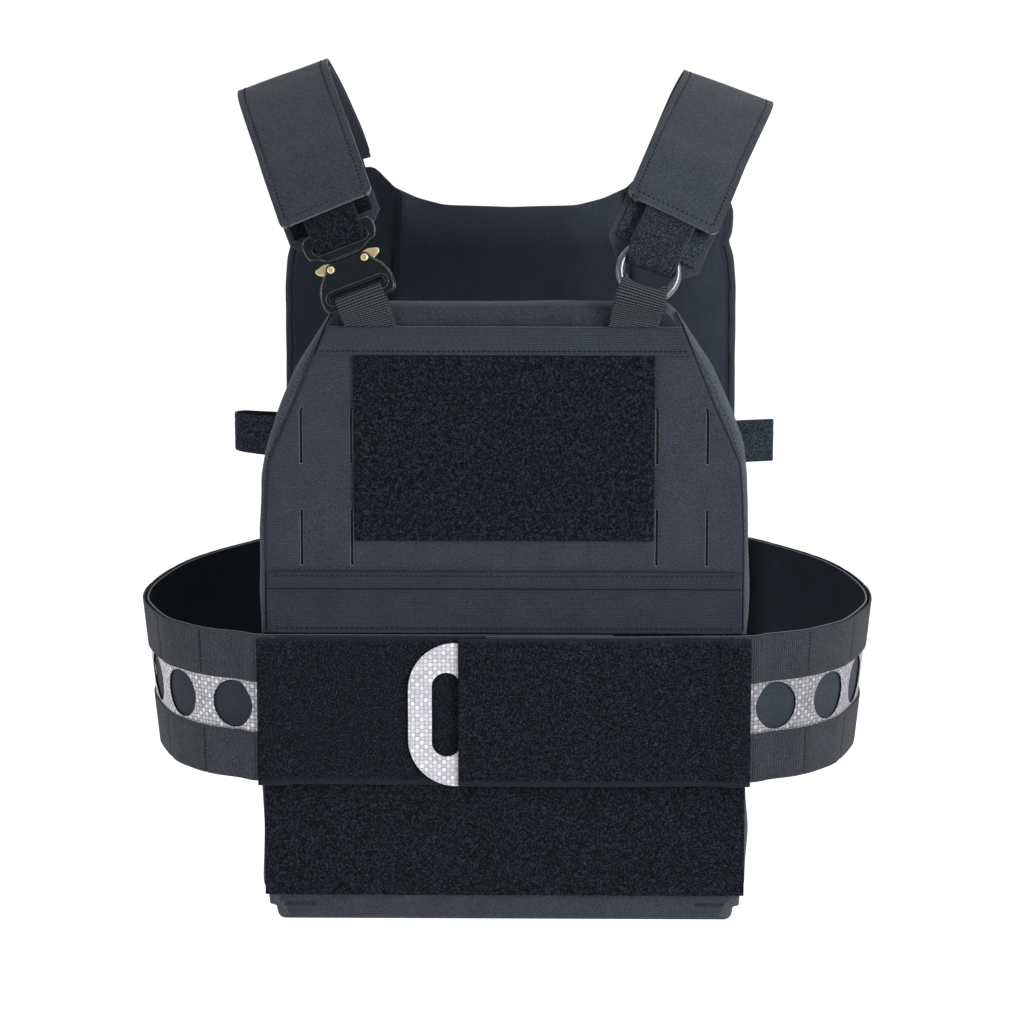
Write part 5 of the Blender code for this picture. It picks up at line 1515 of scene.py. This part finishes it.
def tab(strap, word, place, loop, lead, paint):
    half, radius = TAB_WIDTH / 2, loop["radius"]
    shares = np.linspace(-1, 1, 19)

    def leg(first, last, step, out):
        return [[strap.at(run, half * s, out(run)) for s in shares] for run in spread(first, last, step)]

    rows = leg(lead[0][0], TAB_END, 0.002, lambda run: tab_out(run, lead))[::-1]
    clear = flat_row(place, shares, half, loop["clear"], radius)
    rows += between(rows[-1], clear, 0.33, 0.67)
    rows += between(clear, flat_row(place, shares, half, loop["turn"], radius), 0.0, 0.35, 0.7)
    rows += turned(place, shares, half, loop)
    rows.append(flat_row(place, shares, half, loop["back_clear"], -radius))
    rows += leg(loop["back_start"], TAB_END - 0.0060, 0.003, lambda run: LEG_1_OUT)
    folded(f"strap_{word}_tab", rows, TAB_WIDTH, TAB_THICK - 0.0002, paint, "loop_fabric")


def webbing(strap, word, place, loop):
    half, radius = WEBBING_WIDTH / 2, loop["radius"]
    shares = np.linspace(-1, 1, 13)
    start, upper = strap.at(0.0, 0.0, 0.0), strap.at(0.011, 0.0, 0.0)
    lean = (upper[0] - start[0]) / (upper[2] - start[2])
    foot = PANEL_TOP + GAP
    back_leg = FRONT - GAP - WEBBING_THICK / 2
    front_leg = back_leg - WEBBING_THICK - GAP

    def foot_row(depth, height):
        centre, reach = start[0] + (height - foot) * lean, half * math.hypot(1, lean)
        return [np.array((centre + reach * share, depth, height)) for share in shares]

    thirds = (0.0, 1 / 3, 2 / 3)
    clear = flat_row(place, shares, half, loop["clear"], radius)
    rows = between(foot_row(front_leg, foot), foot_row(front_leg, foot + FOOT_HEIGHT), *thirds)
    rows += between(foot_row(front_leg, foot + FOOT_HEIGHT), clear, 0.0, 0.25, 0.5, 0.75)
    rows += between(clear, flat_row(place, shares, half, loop["turn"], radius), *thirds)
    rows += turned(place, shares, half, loop)
    rows.append(flat_row(place, shares, half, loop["clear"], -radius))
    rows += between(foot_row(back_leg, foot + FOOT_HEIGHT), foot_row(back_leg, foot), *thirds, 1.0)
    folded("webbing_" + word, rows, WEBBING_WIDTH, WEBBING_THICK, "webbing", "webbing")


BUCKLE_RUN = 0.0330
BUCKLE_OUT = 0.0034
RING_RUN = 0.0285
RING_OUT = 0.0050
LEFT_BASE_START = 0.0460
LEFT_COVER_START = 0.0615
RIGHT_BASE_START = 0.0301
RIGHT_COVER_START = 0.0589
# How far out the tab's upper leg lies at these lengths
LEFT_LEAD = ((0.0590, 0.0059), (0.0660, 0.0043), (0.0740, LEG_2_OUT))
RIGHT_LEAD = ((0.0490, 0.0074), (0.0560, 0.0056), (0.0650, 0.0042), (0.0740, LEG_2_OUT))
# Each strip's turn, with places along it in the hardware's frame and half widths at the fold
LEFT_TAB = dict(turn=0.0136, radius=0.0029, depth=-0.0029, fold=0.0120, bow=0.0, clear=0.0218)
LEFT_TAB |= dict(back_clear=0.0218, back_start=0.0600)
RIGHT_TAB = dict(turn=0.0048, radius=0.0037, depth=-0.0037, fold=0.0110, bow=0.0, clear=0.0180)
RIGHT_TAB |= dict(back_clear=0.0120, back_start=0.0440)
LEFT_WEBBING = dict(turn=-0.0171, radius=0.0042, depth=0.0020, fold=0.0122, bow=0.0, clear=-0.0222)
RIGHT_WEBBING = dict(turn=-0.0120, radius=0.0037, depth=0.0037, fold=0.0112, bow=0.0038, clear=-0.0182)
RING_STEPS = 72
RING_SIDES = 16


def ring(place):
    points = []
    for i in range(RING_STEPS):
        for j in range(RING_SIDES):
            a, b = 2 * math.pi * i / RING_STEPS, 2 * math.pi * j / RING_SIDES
            reach = RING_RADIUS + RING_WIRE * math.cos(b)
            points.append(place @ Vector((reach * math.cos(a), reach * math.sin(a), RING_WIRE * math.sin(b))))
    closed = ring_faces(RING_STEPS + 1, RING_SIDES, flip=True)
    faces = [tuple(corner % len(points) for corner in face) for face in closed]
    settle(mesh_object("ring", points, faces, "steel"), "grey_steel", "ring")


# Buckle

RIVET_ACROSS = 0.00925
# Outlines as rows of across and up, of the right half where they are the same on both sides
BODY_HALF = (
    (0.0, 0.0028), (0.0058, 0.0031), (0.0072, 0.0034), (RIVET_ACROSS, 0.0031), (0.0114, 0.0021),
    (0.0123, 0.0003), (0.0134, -0.0014), (0.0166, -0.0050), (0.0187, -0.0090), (0.0196, -0.0135),
    (0.0194, -0.0185), (0.0178, -0.0212),
)
YOKE_HALF = (
    (0.0170, 0.0205), (0.0195, 0.0180), (0.0195, 0.0125), (0.0183, 0.0088), (0.0128, 0.0070),
    (0.0100, 0.0048), (0.0062, 0.0037),
)
LEVER_OUTLINE = (
    (0.0066, 0.0022), (0.0084, 0.0034), (0.0100, 0.0040), (0.0125, 0.0043), (0.0172, 0.0028),
    (0.0175, 0.0013), (0.0161, -0.0002), (0.0140, -0.0013), (0.0122, -0.0025),
    (RIVET_ACROSS, -0.0031), (0.0072, -0.0025), (0.0062, -0.0006),
)
WEB_TOP = -0.0092
NECK = (
    (-0.0100, 0.0062), (-0.0062, 0.0048), (0.0062, 0.0048),
    (0.0100, 0.0062), (0.0062, 0.0054), (-0.0062, 0.0054),
)
TONGUE = ((-0.0052, -0.0060), (0.0052, -0.0060), (0.0052, 0.0070), (-0.0052, 0.0070))
BUCKLE_THICK = 0.0060
BUCKLE_CAVITY = 0.0032
LEVER_THICK = 0.0024
YOKE_THICK = 0.0034
HIGHLIGHT_ACROSS = 0.0118


def mirrored(half):
    return [*half, *[(-across, up) for across, up in reversed(half) if across > 0]]


def eased(outline, radius, steps=5):
    """The outline with each corner rounded off."""
    done = []
    for index in range(len(outline)):
        here = np.array(outline[index])
        before = np.array(outline[index - 1]) - here
        after = np.array(outline[(index + 1) % len(outline)]) - here
        reach = min(radius, 0.45 * np.linalg.norm(before), 0.45 * np.linalg.norm(after))
        start, end = here + unit(before) * reach, here + unit(after) * reach
        for t in np.linspace(0, 1, steps):
            done.append(tuple((1 - t) ** 2 * start + 2 * t * (1 - t) * here + t**2 * end))
    return done


def slot_outline(half_width, low, high, count=13):
    radius, middle = (high - low) / 2, (high + low) / 2
    reach = half_width - radius
    return [*arc((reach, middle), radius, -90, 90, count), *arc((-reach, middle), radius, 90, 270, count)]


BUCKLE_SLOT = slot_outline(0.0150, -0.0165, -0.0124)
YOKE_SLOT = slot_outline(0.0150, 0.0094, 0.0152)


def joined(name, place, rows):
    """Plates made one piece, from rows of their outlines, thickness, edge, paint and distance out."""
    made = bmesh.new()
    paints = []
    pieces = [plate(name + "_plate", *row, place @ Matrix.Translation((0, 0, out))) for *row, out in rows]
    for piece in pieces:
        mesh, paint = final_mesh(piece), piece.data.materials[0]
        start = len(made.faces)
        made.from_mesh(mesh)
        made.faces.ensure_lookup_table()
        if paint not in paints:
            paints.append(paint)
        for face in made.faces[start:]:
            face.material_index = paints.index(paint)
        bpy.data.meshes.remove(mesh)
    mesh = bpy.data.meshes.new(name)
    made.to_mesh(mesh)
    made.free()
    for piece in pieces:
        bpy.data.objects.remove(piece)
    mesh.shade_smooth()
    for paint in paints:
        mesh.materials.append(paint)
    return settle(linked(name, mesh), "painted_black_metal", name)


def inset(outline, distance):
    """The outline drawn in by this distance."""
    points = np.array(outline)
    after = np.roll(points, -1, axis=0)
    along = unit(after - np.roll(points, 1, axis=0))
    inward = np.stack([-along[:, 1], along[:, 0]], axis=1)
    area = np.sum(points[:, 0] * after[:, 1] - after[:, 0] * points[:, 1])
    return [tuple(p) for p in points + inward * distance * np.sign(area)]


def buckle(place):
    side = (BUCKLE_THICK - BUCKLE_CAVITY) / 2
    middle = (BUCKLE_THICK + BUCKLE_CAVITY) / 4
    face = BUCKLE_THICK / 2
    outline = eased(mirrored(BODY_HALF), 0.0016)
    web = mirrored([(0.0185, WEB_TOP), *[row for row in BODY_HALF if row[1] < WEB_TOP]])
    web = [inset(eased(web, 0.0008), 0.0004), BUCKLE_SLOT]
    rim = [slot_outline(0.0172, -0.0187, -0.0104), slot_outline(0.0167, -0.0182, -0.0109)]
    lip = [slot_outline(0.0157, -0.0172, -0.0117), BUCKLE_SLOT]
    outer, inner = inset(outline, 0.0004), inset(outline, 0.0010)
    # Bands of lighter metal along the body's sides, where its rim catches light: painted highlight.
    wear_and_highlight, collars = [], []
    for sign in (-1, 1):
        here = [i for i, point in enumerate(outline) if sign * point[0] > HIGHLIGHT_ACROSS]
        if sign < 0:
            here = here[1:]
        wear_and_highlight.append([[outer[i] for i in here] + [inner[i] for i in here[::-1]]])
        collars.append([arc((sign * RIVET_ACROSS, 0.0), radius, 0, 352, 45) for radius in (0.0028, 0.0021)])
    body = (
        ([outline, BUCKLE_SLOT], side, 0.0006, "black_metal", middle),
        ([outline, BUCKLE_SLOT], side, 0.0006, "black_metal", -middle),
        (web, BUCKLE_CAVITY + 0.0010, 0.0003, "black_metal", 0.0),
        *[(band, 0.0009, 0.0002, "worn_edge", face) for band in wear_and_highlight],
        (rim, 0.0008, 0.00015, "worn_edge", face),
        (lip, 0.0009, 0.0002, "black_metal", face),
        *[(collar, 0.0008, 0.0002, "black_metal", face) for collar in collars],
    )
    joined("buckle_body", place, body)

    outer = eased(mirrored(YOKE_HALF), 0.0016)
    edge = [inset(outer, 0.0002), inset(outer, 0.0008)]
    rim = [slot_outline(0.0155, 0.0089, 0.0157), YOKE_SLOT]
    face = YOKE_THICK / 2 - 0.0004
    # The yoke's edge, its slot's rim and its neck carry bands of lighter metal: painted highlight.
    yoke = (
        ([outer, YOKE_SLOT], YOKE_THICK - 0.0008, 0.0005, "black_metal", 0.0),
        (edge, 0.0008, 0.0002, "worn_edge", face),
        (rim, 0.0008, 0.0002, "worn_edge", face),
        (edge, 0.0008, 0.0002, "worn_edge", -face),
        (rim, 0.0008, 0.0002, "worn_edge", -face),
        ([eased(NECK, 0.0010)], 0.0008, 0.0001, "worn_edge", face),
        ([eased(TONGUE, 0.0010)], 0.0022, 0.0003, "black_metal", 0.0),
    )
    joined("buckle_yoke", place, yoke)

    for word, sign in SIDES:
        pivot = place @ Matrix.Translation((sign * RIVET_ACROSS, 0.0, 0.0))
        outline = [(sign * x - sign * RIVET_ACROSS, y) for x, y in LEVER_OUTLINE][::sign]
        outlines = [eased(outline, 0.0008), arc((0.0, 0.0), 0.0019, 0, 348, 30)]
        lever = plate("buckle_lever_" + word, outlines, LEVER_THICK, 0.0005, "brass", pivot)
        settle(lever, "brass", "buckle_lever_" + word, body="lever_" + word)
        rivet("buckle_rivet_" + word, pivot)


# Rows of a rivet's radius, the plate's face that it stands on, and its height over that face
RIVET = (
    (0.0, 1, 0.00065), (0.0006, 1, 0.00068), (0.0011, 1, 0.00078), (0.0015, 1, 0.00072),
    (0.00185, 1, 0.00045), (0.0020, 1, 0.0002), (0.0020, 1, 0.0), (0.0016, 1, 0.0),
    (0.0016, -1, 0.0), (0.0020, -1, 0.0), (0.0019, -1, 0.0004), (0.0012, -1, 0.0006), (0.0, -1, 0.0006),
)
RIVET_SIDES = 24


def rivet(name, pivot):
    """A rivet's shank with a domed head on each side."""
    points = []
    for radius, side, height in RIVET:
        out = side * (BUCKLE_THICK / 2 + GAP + height)
        for corner in range(RIVET_SIDES):
            angle = 2 * math.pi * corner / RIVET_SIDES
            points.append(pivot @ Vector((radius * math.cos(angle), radius * math.sin(angle), out)))
    obj = mesh_object(name, points, ring_faces(len(RIVET), RIVET_SIDES, flip=True), "brass")
    welded(obj.data, 0.000001)
    settle(obj, "brass", name)


# Camera, floor and light


def aimed(obj, place, direction):
    obj.location = place
    obj.rotation_euler = direction.to_track_quat("-Z", "Y").to_euler()


def camera():
    azimuth, elevation = math.radians(0.8), math.radians(12.0)
    flat = math.cos(elevation)
    back = Vector((math.sin(azimuth) * flat, -math.cos(azimuth) * flat, math.sin(elevation)))
    data = bpy.data.cameras.new("camera")
    data.lens = 152.66
    data.sensor_width = 36.0
    data.clip_start = 0.01
    data.clip_end = 100.0
    obj = linked("camera", data)
    aimed(obj, Vector((0.004, FRONT, -CREST_HEIGHT)) + back * 2.25, -back)
    bpy.context.scene.camera = obj


def area_light(name, place, aim, size, power):
    data = bpy.data.lights.new(name, "AREA")
    data.shape = "RECTANGLE"
    data.size, data.size_y = size
    data.energy = power
    aimed(linked(name, data), place, Vector(aim) - Vector(place))


def studio():
    paint = Paint("floor", Specular_IOR_Level=0.1)
    grain = paint.drift(0.97, 1.0, 40.0, 3.0)
    PAINTS["floor"] = paint.finish(paint.shade((0.95, 0.95, 0.95), grain), 0.9)
    reach, low = 40.0, -0.95
    corners = [(x * reach, y * reach, low) for x, y in ((-1, -1), (1, -1), (1, 1), (-1, 1))]
    mesh_object("floor", corners, [(0, 1, 2, 3)], "floor", smooth=False)
    world = bpy.data.worlds.new("studio")
    world.use_nodes = True
    nodes, links = world.node_tree.nodes, world.node_tree.links
    sky = nodes["Background"]
    sky.inputs[0].default_value = (1.0, 1.0, 1.0, 1.0)
    split = nodes.new("ShaderNodeSeparateXYZ")
    fall = nodes.new("ShaderNodeMapRange")
    for socket, value in zip(fall.inputs[1:5], (-0.8, 0.3, 0.5, 1.5)):
        socket.default_value = value
    links.new(nodes.new("ShaderNodeTexCoord").outputs["Generated"], split.inputs[0])
    links.new(split.outputs[1], fall.inputs[0])
    links.new(fall.outputs[0], sky.inputs[1])
    bpy.context.scene.world = world
    aim = (0.0, 0.0, -0.2)
    area_light("key", (2.3, -2.2, 0.7), aim, (1.3, 1.3), 85)
    area_light("fill", (-2.6, -1.7, 0.1), aim, (0.9, 1.8), 20)
    area_light("side", (0.75, -0.55, 0.30), (0.08, 0.05, -0.10), (0.35, 0.35), 3.2)
    area_light("top", (0.6, -0.3, 2.4), aim, (1.6, 1.6), 12)
    bpy.context.scene.view_settings.view_transform = "Standard"


camera()
studio()
ear = bags()
front_sheets()
arm_layers("right", 1, RIGHT_FRONT, *RIGHT_ENDS)
arm_layers("left", -1, LEFT_FRONT, *LEFT_ENDS)
pull_tab()
back_flap()
side_loop("side_loop_left", -1, "fuzz", *LEFT_LOOP)
# The right side loop takes its pile painted lighter, as lit.
side_loop("side_loop_right", 1, "fuzz_right", *RIGHT_LOOP)

left = Strap(-1, 1.0)
shoulder(left, "left", LEFT_BASE_START, LEFT_COVER_START, LEFT_LEAD, ear)
place = left.flat_frame(BUCKLE_RUN, BUCKLE_OUT)
buckle(place)
tab(left, "left", place, LEFT_TAB, LEFT_LEAD, "loop")
webbing(left, "left", place, LEFT_WEBBING)

right = Strap(1, RIGHT_RISE)
shoulder(right, "right", RIGHT_BASE_START, RIGHT_COVER_START, RIGHT_LEAD, ear)
place = right.flat_frame(RING_RUN, RING_OUT)
ring(place)
# The right tab takes its pile painted lighter, as lit.
tab(right, "right", place, RIGHT_TAB, RIGHT_LEAD, "loop_right")
webbing(right, "right", place, RIGHT_WEBBING)
